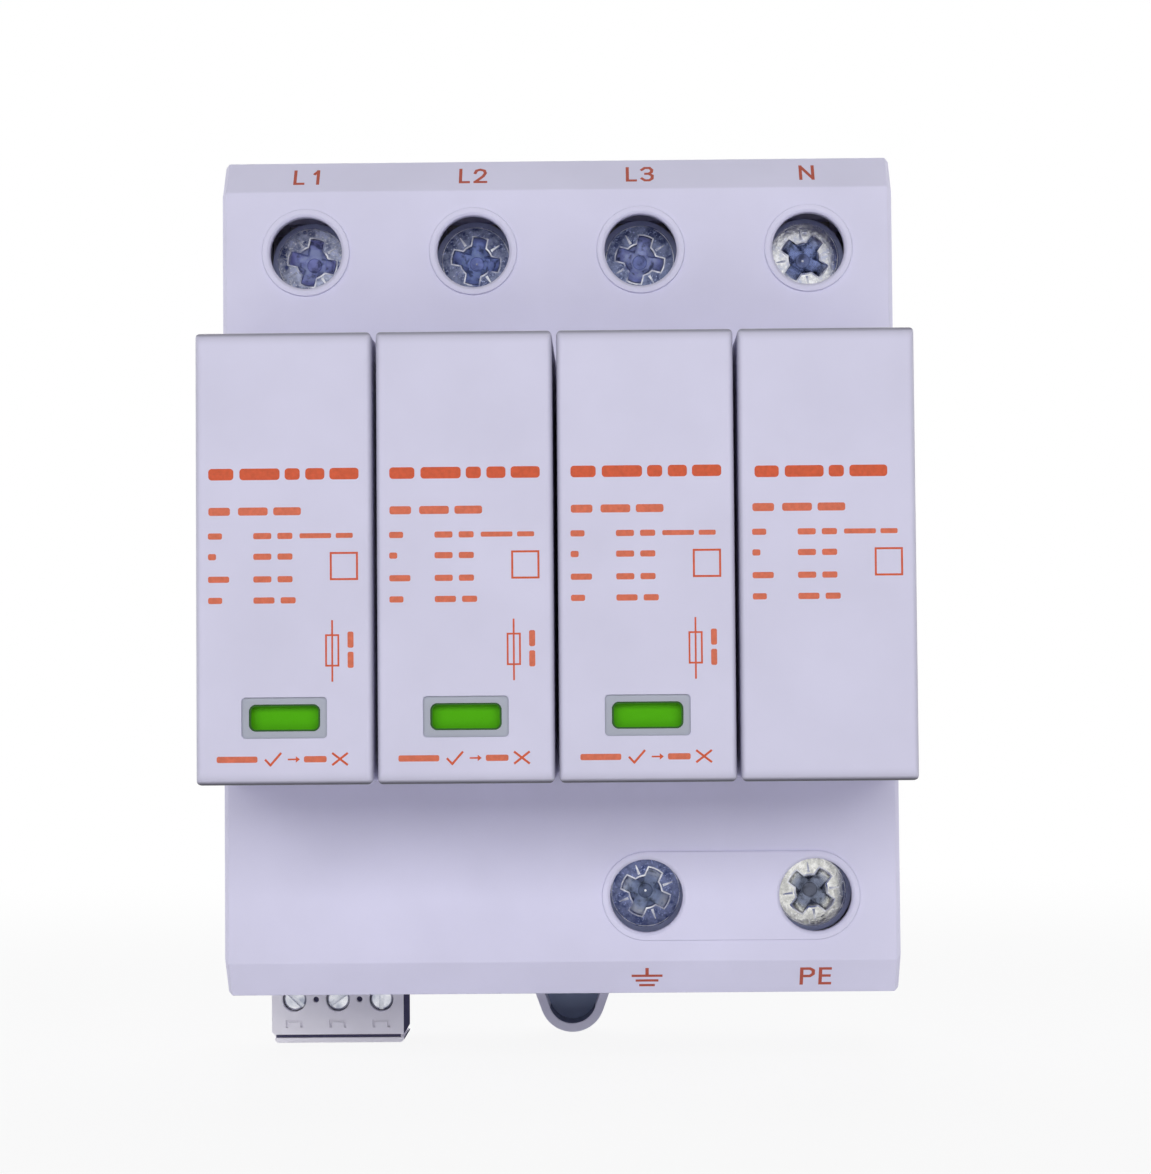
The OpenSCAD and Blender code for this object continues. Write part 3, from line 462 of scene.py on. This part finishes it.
dress("base_housing", "base", 0.12)
dress("rail_foot", "foot", 0.12)
dress("rail_latch", "latch", 0.15)
dress("latch_spring", "spring")
dress("signal_plug", "plug", 0.1)
dress("signal_bar", "foot")
dress("signal_switch", "black", 0.15)
dress("signal_header", "black", 0.1)
dress("signal_pins", "brass")
dress("plug_contacts", "brass")
dress("neutral_bar", "tinned")
dress("earth_bar", "tinned")
dress("module_n_spark_gap", "ceramic", 0.15)
for i in (1, 2, 3):
    dress(f"plug_screw_{i}", "zinc_bright", 0.06)
    dress(f"plug_clamp_{i}", "clamp")
for name in TERMINALS:
    dress(f"terminal_screw_{name}", f"screw_{name}", 0.08)
    dress(f"clamp_cage_{name}", "clamp", 0.1)
for name in POLES:
    dress(f"module_{name}_cover", "module", 0.12)
    dress(f"module_{name}_carrier", "foot")
    dress(f"module_{name}_blades", "tinned")
    if name != "n":
        dress(f"line_contact_{name}", "tinned")
        dress(f"module_{name}_varistor", "varistor", 0.2)
        dress(f"module_{name}_disconnector", "copper")
        dress(f"module_{name}_flag", "green", 0.1)
        dress(f"module_{name}_red_field", "red")


# Outlines in mm


def rounded(x0, x1, z0, z1, r, steps=4):
    """Outline of a rectangle with round corners."""
    points = []
    corners = (
        (x1 - r, z0 + r, -90),
        (x1 - r, z1 - r, 0),
        (x0 + r, z1 - r, 90),
        (x0 + r, z0 + r, 180),
    )
    for cx, cz, start in corners:
        for k in range(steps + 1):
            a = math.radians(start + 90 * k / steps)
            points.append((cx + r * math.cos(a), cz + r * math.sin(a)))
    return points


def centred(half_x, half_z, r):
    """Outline of a rectangle with round corners about the origin."""
    return rounded(-half_x, half_x, -half_z, half_z, r)


def circle(r, steps):
    """Outline of a circle about the origin."""
    turns = [2 * math.pi * k / steps for k in range(steps)]
    return [(r * math.cos(a), r * math.sin(a)) for a in turns]


def line(a, b, w):
    """Outline of a straight stroke with square ends."""
    (x0, z0), (x1, z1) = a, b
    n = math.hypot(x1 - x0, z1 - z0)
    px, pz = -(z1 - z0) / n * w / 2, (x1 - x0) / n * w / 2
    return [(x0 - px, z0 - pz), (x1 - px, z1 - pz), (x1 + px, z1 + pz), (x0 + px, z0 + pz)]


def box_frame(x0, x1, z0, z1, w):
    """Outlines of a hollow rectangle, as four strokes that meet in mitres."""
    outer = [(x0, z0), (x1, z0), (x1, z1), (x0, z1)]
    inner = [(x0 + w, z0 + w), (x1 - w, z0 + w), (x1 - w, z1 - w), (x0 + w, z1 - w)]
    return [[outer[k], outer[(k + 1) % 4], inner[(k + 1) % 4], inner[k]] for k in range(4)]


# Thin pieces that lie on a surface


def add_piece(name, bm, key, body):
    """Makes a piece of a finished bmesh and lets it ride on a body."""
    bmesh.ops.recalc_face_normals(bm, faces=bm.faces)
    mesh = bpy.data.meshes.new(name)
    bm.to_mesh(mesh)
    bm.free()
    mesh.materials.append(finish[key])
    piece = bpy.data.objects.new(name, mesh)
    bpy.context.scene.collection.objects.link(piece)
    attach(piece, body)
    return piece


def raise_shape(bm, outline, place, thick):
    """A closed plate from an outline: place carries (x, z, height) to the part's frame in metres."""
    low = [bm.verts.new(place(x, z, 0.0)) for x, z in outline]
    high = [bm.verts.new(place(x, z, thick)) for x, z in outline]
    bm.faces.new(high)
    bm.faces.new(low[::-1])
    for k in range(len(outline)):
        n = (k + 1) % len(outline)
        bm.faces.new([low[k], low[n], high[n], high[k]])


def raise_ring(bm, inner, outer, place, thick):
    """A closed flat ring between two outlines with the same number of points."""
    rows = [
        [bm.verts.new(place(x, z, h)) for x, z in outline]
        for outline, h in ((inner, 0.0), (inner, thick), (outer, thick), (outer, 0.0))
    ]
    for k in range(len(inner)):
        n = (k + 1) % len(inner)
        for row, following in zip(rows, rows[1:] + rows[:1]):
            bm.faces.new([row[k], row[n], following[n], following[k]])


def flat_piece(name, outlines, place, key, body, slot, thick=INK):
    """A piece of several plates, each a little lower, so that crossing strokes stay clean."""
    bm = bmesh.new()
    for count, outline in enumerate(outlines):
        raise_shape(bm, outline, place, thick * (1.0 - 0.5 * count / len(outlines)))
    return add_piece(name, bm, key, body)


def ring_piece(name, inner, outer, place, key, body, slot, thick):
    """A piece of one flat ring."""
    bm = bmesh.new()
    raise_ring(bm, inner, outer, place, thick)
    return add_piece(name, bm, key, body)


def facing(depth, x_mid=0.0, z_mid=0.0):
    """Carries an outline about a middle to a plane that faces the front: depth is the plane's Y."""
    return lambda x, z, h: Vector((x_mid + x, depth - h, z_mid + z)) * MM


# Print and windows of the modules

# Rows of bars, from the middle of a module: height of the row, height of its bars and their spans in x
LINE_TITLE = (8.35, 1.15, ((-7.45, -4.95), (-4.35, -0.35), (0.15, 1.65), (2.2, 4.1), (4.6, 7.5)))
NEUTRAL_TITLE = (8.2, 1.15, ((-7.2, -4.8), (-4.2, -0.35), (0.15, 1.65), (2.2, 5.95)))
FINE_ROWS = (
    (4.65, 0.8, ((-7.45, -5.3), (-4.5, -1.55), (-1.0, 1.75))),
    (2.2, 0.62, ((-7.5, -6.1), (-3.0, -1.2), (-0.6, 0.9))),
    (0.15, 0.62, ((-7.5, -6.7), (-3.0, -1.2), (-0.6, 0.9))),
    (-2.1, 0.62, ((-7.5, -5.4), (-3.0, -1.2), (-0.6, 0.9))),
    (-4.2, 0.62, ((-7.5, -6.1), (-3.0, -0.9), (-0.3, 1.2))),
    (2.2, 0.5, ((1.6, 4.75), (5.2, 6.9))),
)
STATE_ROW = (-19.95, 0.62, ((-6.7, -2.65), (1.95, 4.2)))
# Two bars that stand upright beside the fuse sign
FUSE_NOTE = (0.0, 0.6, ((-10.95, -9.35), (-8.95, -7.35)))
FUSE_NOTE_X = 6.62
FUSE_BOX = (4.1, 5.5, -10.8, -7.6)
FUSE_WIRE = (4.8, -6.2), (4.8, -12.3)
FUSE_LINE = 0.18
SQUARE_SIGN = (4.6, 7.4, -2.24, 0.56)
SQUARE_LINE = 0.2
# Tick, arrow and cross below the window
STATE_SIGNS = [
    line((-1.9, -19.95), (-1.35, -20.55), 0.22),
    line((-1.43, -20.6), (-0.3, -19.3), 0.22),
    line((0.35, -19.95), (1.2, -19.95), 0.16),
    [(1.15, -20.27), (1.55, -19.95), (1.15, -19.63)],
    line((4.75, -20.55), (6.3, -19.35), 0.22),
    line((4.75, -19.35), (6.3, -20.55), 0.22),
]
# Half width, half height and corner radius of the grey band and of the painted shade round a window
BAND_INNER, BAND_OUTER = (3.57, 1.37, 0.7), (4.23, 2.03, 0.4)
EDGE_INNER, EDGE_OUTER = (3.34, 1.16, 0.5), (3.56, 1.36, 0.7)
BAND_THICK = 0.02
EDGE_THICK = 0.1
EDGE_SINK = 0.3


def bars(row):
    """Outlines of one row of printed bars."""
    z, h, spans = row
    return [rounded(x0, x1, z - h / 2, z + h / 2, 0.3 * h) for x0, x1 in spans]


def module_print(name):
    """Plain bars and simple signs that take the place of the print on one module."""
    line_module = name != "n"
    bold = bars(LINE_TITLE if line_module else NEUTRAL_TITLE)
    bold += box_frame(*SQUARE_SIGN, SQUARE_LINE)
    fine = [outline for row in FINE_ROWS for outline in bars(row)]
    if line_module:
        bold += box_frame(*FUSE_BOX, FUSE_LINE)
        bold += [line(*FUSE_WIRE, FUSE_LINE)]
        bold += STATE_SIGNS
        fine += [[(FUSE_NOTE_X - z, x) for x, z in outline] for outline in bars(FUSE_NOTE)]
        fine += bars(STATE_ROW)
    place = facing(MODULE_FRONT, POLES[name])
    carrier = (f"module_{name}", "module_plastic")
    flat_piece(f"print_{name}", bold, place, "ink", *carrier)
    flat_piece(f"print_fine_{name}", fine, place, "ink_fine", *carrier)


def indicator_frame(name):
    """Grey band on the floor of the sunk frame round a window, and painted shade along the window's
    edge.
    """
    x_mid = POLES[name]
    carrier = (f"module_{name}", "module_plastic")
    ring_piece(
        f"frame_band_{name}",
        centred(*BAND_INNER),
        centred(*BAND_OUTER),
        facing(FRAME_FLOOR, x_mid, WINDOW_Z),
        "frame_grey",
        *carrier,
        BAND_THICK,
    )
    ring_piece(
        f"window_shade_{name}",
        centred(*EDGE_INNER),
        centred(*EDGE_OUTER),
        facing(FRAME_FLOOR + EDGE_SINK, x_mid, WINDOW_Z),
        "window_shade",
        *carrier,
        EDGE_THICK,
    )


for name in POLES:
    module_print(name)
    if name != "n":
        indicator_frame(name)


# Painted highlights on the screw heads, and a painted reflection at the centre of some recesses

HIGHLIGHT_WIDTH = 0.16
HIGHLIGHT_THICK = 0.02
# Radii of the painted bright ring at the head's edge
HEAD_RING = (3.66, 3.74)
# Painted bright ticks between the arms: distance from the axis and half width at both ends
TICK_FROM, TICK_TO = (2.0, 0.15), (3.1, 0.05)


def recess_outline(half, span, middle, steps=3):
    """Outline of a cross recess: half the width of an arm, radius of its ends and of its middle."""
    points = []
    end, root = math.asin(half / span), math.asin(half / middle)
    for arm in range(4):
        start = arm * math.pi / 2
        for k in range(steps + 1):
            a = start - end + 2 * end * k / steps
            points.append((span * math.cos(a), span * math.sin(a)))
        for k in range(steps + 1):
            a = start + root + (math.pi / 2 - 2 * root) * k / steps
            points.append((middle * math.cos(a), middle * math.sin(a)))
    return points


def tick_outline(k):
    """Outline of the tick mark between arm k of a recess and the next arm."""
    ray = Vector((1.0, 1.0)).normalized()
    ray.rotate(Matrix.Rotation(math.radians(90 * k), 2))
    aside = ray.orthogonal()
    corners = []
    for (reach, half), side in ((TICK_FROM, -1), (TICK_TO, -1), (TICK_TO, 1), (TICK_FROM, 1)):
        corners.append(tuple(reach * ray + side * half * aside))
    return corners


def screw_highlights(name):
    """Painted highlights: a bright outline of a recess, bright ticks between its arms, a bright ring
    at the head's edge and a painted reflection at the centre.
    """
    x_mid, z_mid, turn = TERMINALS[name]
    c, s = math.cos(math.radians(turn)), math.sin(math.radians(turn))

    def place(x, z, h):
        """Carries an outline to the face of the head."""
        return Vector((x_mid + c * x - s * z, HEAD_FACE - h, z_mid + s * x + c * z)) * MM

    def place_deep(x, z, h):
        """Carries an outline to the floor of the recess."""
        return place(x, z, h - RECESS_DEEP + 0.01)

    bm = bmesh.new()
    inner = recess_outline(RECESS_ARM, RECESS_REACH, RECESS_MIDDLE)
    outer = recess_outline(RECESS_ARM + HIGHLIGHT_WIDTH, RECESS_REACH + HIGHLIGHT_WIDTH, RECESS_MIDDLE + HIGHLIGHT_WIDTH)
    raise_ring(bm, inner, outer, place, HIGHLIGHT_THICK)
    raise_ring(bm, *(circle(r, 48) for r in HEAD_RING), place, HIGHLIGHT_THICK)
    for k in range(4):
        raise_shape(bm, tick_outline(k), place, HIGHLIGHT_THICK)
    if name in CENTRE_REFLECTED:
        raise_shape(bm, circle(0.13, 12), place_deep, HIGHLIGHT_THICK)
    add_piece(f"recess_highlights_{name}", bm, "zinc_highlight", f"terminal_screw_{name}")


for name in TERMINALS:
    screw_highlights(name)


# Painted shade inside the latch lug: dark sheets on the floor and along the low wall of its recess

LUG_MIDDLE = (0.5, -50.25)
LUG_IN = 2.88
LUG_LEAN = 20.0
LUG_FLOOR = 2.5
LUG_FLOOR_TOP = 4.4
LUG_WALL_HIGH = 5.2
LUG_WALL_INNER = 0.99


def lug_outline(r, lean, high, steps=16):
    """Outline of the lug about the middle of its round end: the sides lean out to the height high."""
    a = math.radians(lean)
    side_x, side_z = r * math.cos(a), -r * math.sin(a)
    high_x = side_x + (high - side_z) * math.tan(a)
    points = [(high_x, high), (-high_x, high)]
    for k in range(steps + 1):
        turn = math.pi + a + (math.pi - 2 * a) * k / steps
        points.append((r * math.cos(turn), r * math.sin(turn)))
    return points


lug_carrier = ("rail_latch", "latch_plastic")
lug_floor = lug_outline(LUG_IN, LUG_LEAN, LUG_FLOOR_TOP)
flat_piece("lug_floor", [lug_floor], facing(LUG_FLOOR, *LUG_MIDDLE), "lug_dark_shade", *lug_carrier, LINER)
low_wall = lug_outline(LUG_IN, LUG_LEAN, 0.0)[2:]
low_wall += [(x * LUG_WALL_INNER, z * LUG_WALL_INNER) for x, z in reversed(low_wall)]
flat_piece(
    "lug_low_wall",
    [low_wall],
    facing(LUG_FLOOR - 0.04, *LUG_MIDDLE),
    "lug_shade",
    *lug_carrier,
    LUG_WALL_HIGH,
)


# Painted shade on the signal plug: dark sheets in its groove, on its right end and in its test holes

PLUG_LEFT, PLUG_RIGHT = -34.1, -19.5
GROOVE_LOW, GROOVE_HIGH = -53.49, -53.06
GROOVE_FLOOR = -12.55
PLUG_END_X = -19.1
# Reach in y and z and corner radius of the end above and below the groove
PLUG_END_FACES = (-13.38, -3.3, -53.03, -39.3, 0.1), (-12.88, -3.3, -53.74, -53.51, 0.05)
TEST_HOLES_X, TEST_HOLES_Z = (-29.34, -24.26), -49.0
TEST_HOLE_RADIUS = 0.33
TEST_HOLE_FLOOR = -12.8


def on_plug_end(y, z, h):
    """Carries an outline in y and z to the right end of the plug."""
    return Vector((PLUG_END_X + h, y, z)) * MM


groove = [
    (PLUG_LEFT, GROOVE_LOW),
    (PLUG_RIGHT, GROOVE_LOW),
    (PLUG_RIGHT, GROOVE_HIGH),
    (PLUG_LEFT, GROOVE_HIGH),
]
plug_end = [rounded(*face) for face in PLUG_END_FACES]
test_holes = [
    [(hole_x + x, TEST_HOLES_Z + z) for x, z in circle(TEST_HOLE_RADIUS, 20)]
    for hole_x in TEST_HOLES_X
]
for name, outlines, place in (
    ("plug_groove", [groove], facing(GROOVE_FLOOR)),
    ("plug_end", plug_end, on_plug_end),
    ("test_holes", test_holes, facing(TEST_HOLE_FLOOR)),
):
    flat_piece(name, outlines, place, "plug_shade", "signal_plug", "plug_plastic", LINER)


# Spring of the rail latch, which the latch presses together on its peg

SPRING_FOOT = Vector((0.5, 2.65, -31.95)) * MM
SPRING_GAP = 0.05 * MM
SPRING_RISE = 9.15 * MM
SPRING_RADIUS = 0.975 * MM
WIRE_RADIUS = 0.225 * MM
COILS = 7


def latch_coil(steps=28, sides=10):
    """Round wire wound into a compression spring with plain ends."""
    bm = bmesh.new()
    rows = []
    for k in range(COILS * steps + 1):
        turn = 2 * math.pi * k / steps
        height = SPRING_GAP + WIRE_RADIUS + SPRING_RISE * k / (COILS * steps)
        row = []
        for s in range(sides):
            a = 2 * math.pi * s / sides
            reach = SPRING_RADIUS + WIRE_RADIUS * math.cos(a)
            rise = height + WIRE_RADIUS * math.sin(a)
            point = Vector((reach * math.cos(turn), reach * math.sin(turn), rise))
            row.append(bm.verts.new(SPRING_FOOT + point))
        rows.append(row)
    for row, following in zip(rows, rows[1:]):
        for s in range(sides):
            n = (s + 1) % sides
            bm.faces.new([row[s], following[s], following[n], row[n]]).smooth = True
    bm.faces.new(rows[0])
    bm.faces.new(rows[-1][::-1])
    return add_piece("latch_coil", bm, "spring", "base")


coil = latch_coil()
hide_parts("latch_spring")
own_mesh(coil)


# Marks of the terminals

# Front and back edge (y, z) of the upper and the lower slope
UPPER_SLOPE = (-43.5, 40.6), (-40.5, 44.25)
LOWER_SLOPE = (-43.5, -42.1), (-40.5, -45.75)
# Width and strokes of each letter, for a height of 1
GLYPHS = {
    "L": (0.42, [[(0, 1), (0, 0), (0.42, 0)]]),
    "N": (0.64, [[(0, 0), (0, 1)], [(0.05, 0.92), (0.59, 0.08)], [(0.64, 0), (0.64, 1)]]),
    "P": (0.56, [
        [(0, 0), (0, 1)],
        [(0, 1), (0.4, 1), (0.56, 0.88), (0.56, 0.64), (0.4, 0.5), (0, 0.5)],
    ]),
    "E": (0.46, [[(0.46, 1), (0, 1), (0, 0), (0.46, 0)], [(0, 0.52), (0.42, 0.52)]]),
    "1": (0.45, [[(0.26, 0.78), (0.4, 0.96)], [(0.43, 1), (0.43, 0)]]),
    "2": (0.56, [
        [(0, 0.74), (0.06, 0.92), (0.26, 1), (0.47, 0.92), (0.53, 0.72), (0.42, 0.46), (0.05, 0.055)],
        [(0, 0), (0.56, 0)],
    ]),
    "3": (0.54, [
        [(0, 0.86), (0.15, 1), (0.4, 1), (0.52, 0.84), (0.5, 0.66), (0.36, 0.53), (0.2, 0.53)],
        [(0.36, 0.53), (0.54, 0.38), (0.53, 0.14), (0.38, 0), (0.15, 0), (0, 0.14)],
    ]),
}
STROKE = 0.165
LETTER_GAP = 0.35
MARK_HIGH, EARTH_MARK_HIGH = 2.05, 2.2


def on_slope(x_mid, upper):
    """Carries (x, v) on the outer slope of a shoulder to the part's frame: v runs up the slope."""
    (front_y, front_z), (back_y, back_z) = UPPER_SLOPE if upper else LOWER_SLOPE
    along = Vector((0, back_y - front_y, back_z - front_z)).normalized()
    middle = Vector((x_mid, (front_y + back_y) / 2, (front_z + back_z) / 2))
    up = along if upper else -along
    out = Vector((1, 0, 0)).cross(up)
    return lambda x, v, h: (middle + Vector((x, 0, 0)) + up * v + out * h) * MM


def stroke(points, w):
    """Outline of a bent stroke with square ends and mitred bends."""
    points = [Vector(point) for point in points]
    runs = [(b - a).normalized() for a, b in zip(points, points[1:])]
    points[0] = points[0] - runs[0] * w / 2
    points[-1] = points[-1] + runs[-1] * w / 2
    left, right = [], []
    for k, point in enumerate(points):
        before, after = runs[max(k - 1, 0)], runs[min(k, len(runs) - 1)]
        along = (before + after).normalized()
        aside = Vector((-along.y, along.x)) * (w / 2 / along.dot(after))
        left.append(tuple(point + aside))
        right.append(tuple(point - aside))
    return left + right[::-1]


def letters(text, height):
    """Outlines of plain capitals and digits drawn as strokes, centred, in mm."""
    total = sum(GLYPHS[c][0] for c in text) + LETTER_GAP * (len(text) - 1)
    shapes, x = [], -total / 2
    for c in text:
        width, lines = GLYPHS[c]
        for points in lines:
            points = [((x + px) * height, (pz - 0.5) * height) for px, pz in points]
            shapes.append(stroke(points, STROKE * height))
        x += width + LETTER_GAP
    return shapes


def mark(name, outlines, x_mid, upper):
    """Prints a mark on one of the slopes of the base."""
    flat_piece(f"mark_{name}", outlines, on_slope(x_mid, upper), "ink_mark", "base", "base_plastic")


for name, x_mid in POLES.items():
    mark(name, letters(name.upper(), MARK_HIGH), x_mid, True)
mark("pe", letters("PE", EARTH_MARK_HIGH), POLES["n"], False)
EARTH_SIGN = [
    line((0, 1.35), (0, 0.2), 0.36),
    line((-1.65, 0.2), (1.65, 0.2), 0.34),
    line((-1.22, -0.5), (1.22, -0.5), 0.34),
    line((-0.84, -1.2), (0.84, -1.2), 0.34),
]
mark("earth", EARTH_SIGN, POLES["l3"], False)


# Stage: floor, world, light and camera, in metres

WHITE = (1.0, 1.0, 1.0)
ROOM = (0.08, 0.08, 0.08)
PALE = (0.74, 0.74, 0.75)
FLOOR_HALF = 6.0
FLOOR_MIDDLE_Y = -0.02
FLOOR_GAP = 0.0002
# The floor is this white near the object and fully white beyond the far distance
NEAR_WHITE, NEAR, FAR = 0.90, 0.10, 0.35
# Place, target, width and height, power in watts, and whether gloss mirrors the lamp
LAMPS = {
    "key_top": ((0.0, -0.75, 0.21), (0, -0.05, 0), (1.20, 0.30), 4.35, False),
    "key_low": ((0.0, -0.75, -0.325), (0, -0.05, 0), (1.20, 0.33), 1.85, False),
    "left_fill": ((-0.70, 0.30, 0.15), (0, -0.03, 0), (0.5, 0.5), 1.8, True),
    "right_fill": ((0.70, 0.30, 0.15), (0, -0.03, 0), (0.5, 0.5), 1.8, True),
    "top_fill": ((0, 0.55, 0.62), (0, 0.0, 0), (0.5, 0.5), 1.5, True),
    "overhead": ((0, 0.02, 0.80), (0, 0.02, 0), (0.4, 0.2), 0.4, True),
    "back_fill": ((0, 0.80, 0.20), (0, 0, 0), (0.6, 0.6), 3.0, True),
}
# Camera fitted to the edges of the photograph: turn about x, y and z in radians, and focal length
CAMERA_PLACE = (0.00506211, -0.34943187, -0.01457356)
CAMERA_TURN = (-0.0403825596, 0.0109546946, -0.00813084438)
FOCAL_PIXELS = 2863.41652
PHOTO_PIXELS = 1174.0
SENSOR = 36.0
CLIP_START = 0.01


def camera_or_mirror(tree):
    """1 for rays from the camera, from gloss and through glass, 0 for the light itself."""
    path = tree.nodes.new("ShaderNodeLightPath")
    total = path.outputs["Is Camera Ray"]
    for ray in ("Is Glossy Ray", "Is Transmission Ray"):
        total = calc(tree, "MAXIMUM", total, path.outputs[ray])
    return total


def plain(tree, kind, colour):
    """A shader of one colour."""
    node = tree.nodes.new(kind)
    node.inputs["Color"].default_value = (*colour, 1.0)
    return node


def show_mix(tree, factor, under, over, output):
    """Sends one shader over another by a factor to a new output."""
    mix = tree.nodes.new("ShaderNodeMixShader")
    out = tree.nodes.new(output)
    tree.links.new(factor, mix.inputs["Fac"])
    tree.links.new(under.outputs[0], mix.inputs[1])
    tree.links.new(over.outputs[0], mix.inputs[2])
    tree.links.new(mix.outputs[0], out.inputs["Surface"])


def make_world():
    """A dim room that the camera and the gloss see as white."""
    world = bpy.data.worlds.new("studio")
    world.use_nodes = True
    tree = world.node_tree
    tree.nodes.clear()
    room = plain(tree, "ShaderNodeBackground", ROOM)
    white = plain(tree, "ShaderNodeBackground", WHITE)
    show_mix(tree, camera_or_mirror(tree), room, white, "ShaderNodeOutputWorld")
    bpy.context.scene.world = world


def make_floor():
    """A wide pale floor that shows white far off and keeps a soft shadow near the object."""
    mat = bpy.data.materials.new("pale_floor")
    mat.use_nodes = True
    tree = mat.node_tree
    tree.nodes.clear()
    coords = tree.nodes.new("ShaderNodeTexCoord")
    length = tree.nodes.new("ShaderNodeVectorMath")
    length.operation = "LENGTH"
    tree.links.new(coords.outputs["Object"], length.inputs[0])
    far_off = spread(tree, length.outputs["Value"], NEAR_WHITE, 1.0, NEAR, FAR, smooth=True)
    share = calc(tree, "MULTIPLY", far_off, camera_or_mirror(tree))
    pale = plain(tree, "ShaderNodeBsdfDiffuse", PALE)
    white = plain(tree, "ShaderNodeEmission", WHITE)
    show_mix(tree, share, pale, white, "ShaderNodeOutputMaterial")
    mesh = bpy.data.meshes.new("floor")
    bm = bmesh.new()
    bmesh.ops.create_grid(bm, x_segments=8, y_segments=8, size=FLOOR_HALF)
    bm.to_mesh(mesh)
    bm.free()
    mesh.materials.append(mat)
    floor = bpy.data.objects.new("floor", mesh)
    floor.location = (0, FLOOR_MIDDLE_Y, cad_low.z - FLOOR_GAP)
    floor.visible_shadow = False
    bpy.context.scene.collection.objects.link(floor)


def make_lamp(name, place, target, size, power, mirrored):
    """A soft rectangular lamp that faces its target."""
    data = bpy.data.lights.new(name, "AREA")
    data.shape = "RECTANGLE"
    data.size, data.size_y = size
    data.energy = power
    lamp = bpy.data.objects.new(name, data)
    lamp.location = place
    lamp.rotation_mode = "QUATERNION"
    lamp.rotation_quaternion = (Vector(target) - Vector(place)).to_track_quat("-Z", "Y")
    lamp.visible_camera = False
    lamp.visible_glossy = mirrored
    bpy.context.scene.collection.objects.link(lamp)


def make_camera():
    """The photograph's view."""
    turn_x, turn_y, turn_z = CAMERA_TURN
    turn = (
        Matrix.Rotation(turn_z, 3, "Z")
        @ Matrix.Rotation(turn_x, 3, "X")
        @ Matrix.Rotation(turn_y, 3, "Y")
    )
    right, down, ahead = (Vector((row[0], row[2], -row[1])) for row in turn)
    data = bpy.data.cameras.new("photo_view")
    data.sensor_width = SENSOR
    data.lens = FOCAL_PIXELS * SENSOR / PHOTO_PIXELS
    data.clip_start = CLIP_START
    camera = bpy.data.objects.new("photo_view", data)
    camera.matrix_world = Matrix([*zip(right, -down, -ahead, CAMERA_PLACE), (0, 0, 0, 1)])
    bpy.context.scene.collection.objects.link(camera)
    bpy.context.scene.camera = camera


make_world()
make_floor()
for name, lamp in LAMPS.items():
    make_lamp(name, *lamp)
make_camera()
bpy.context.scene.view_settings.view_transform = "Standard"
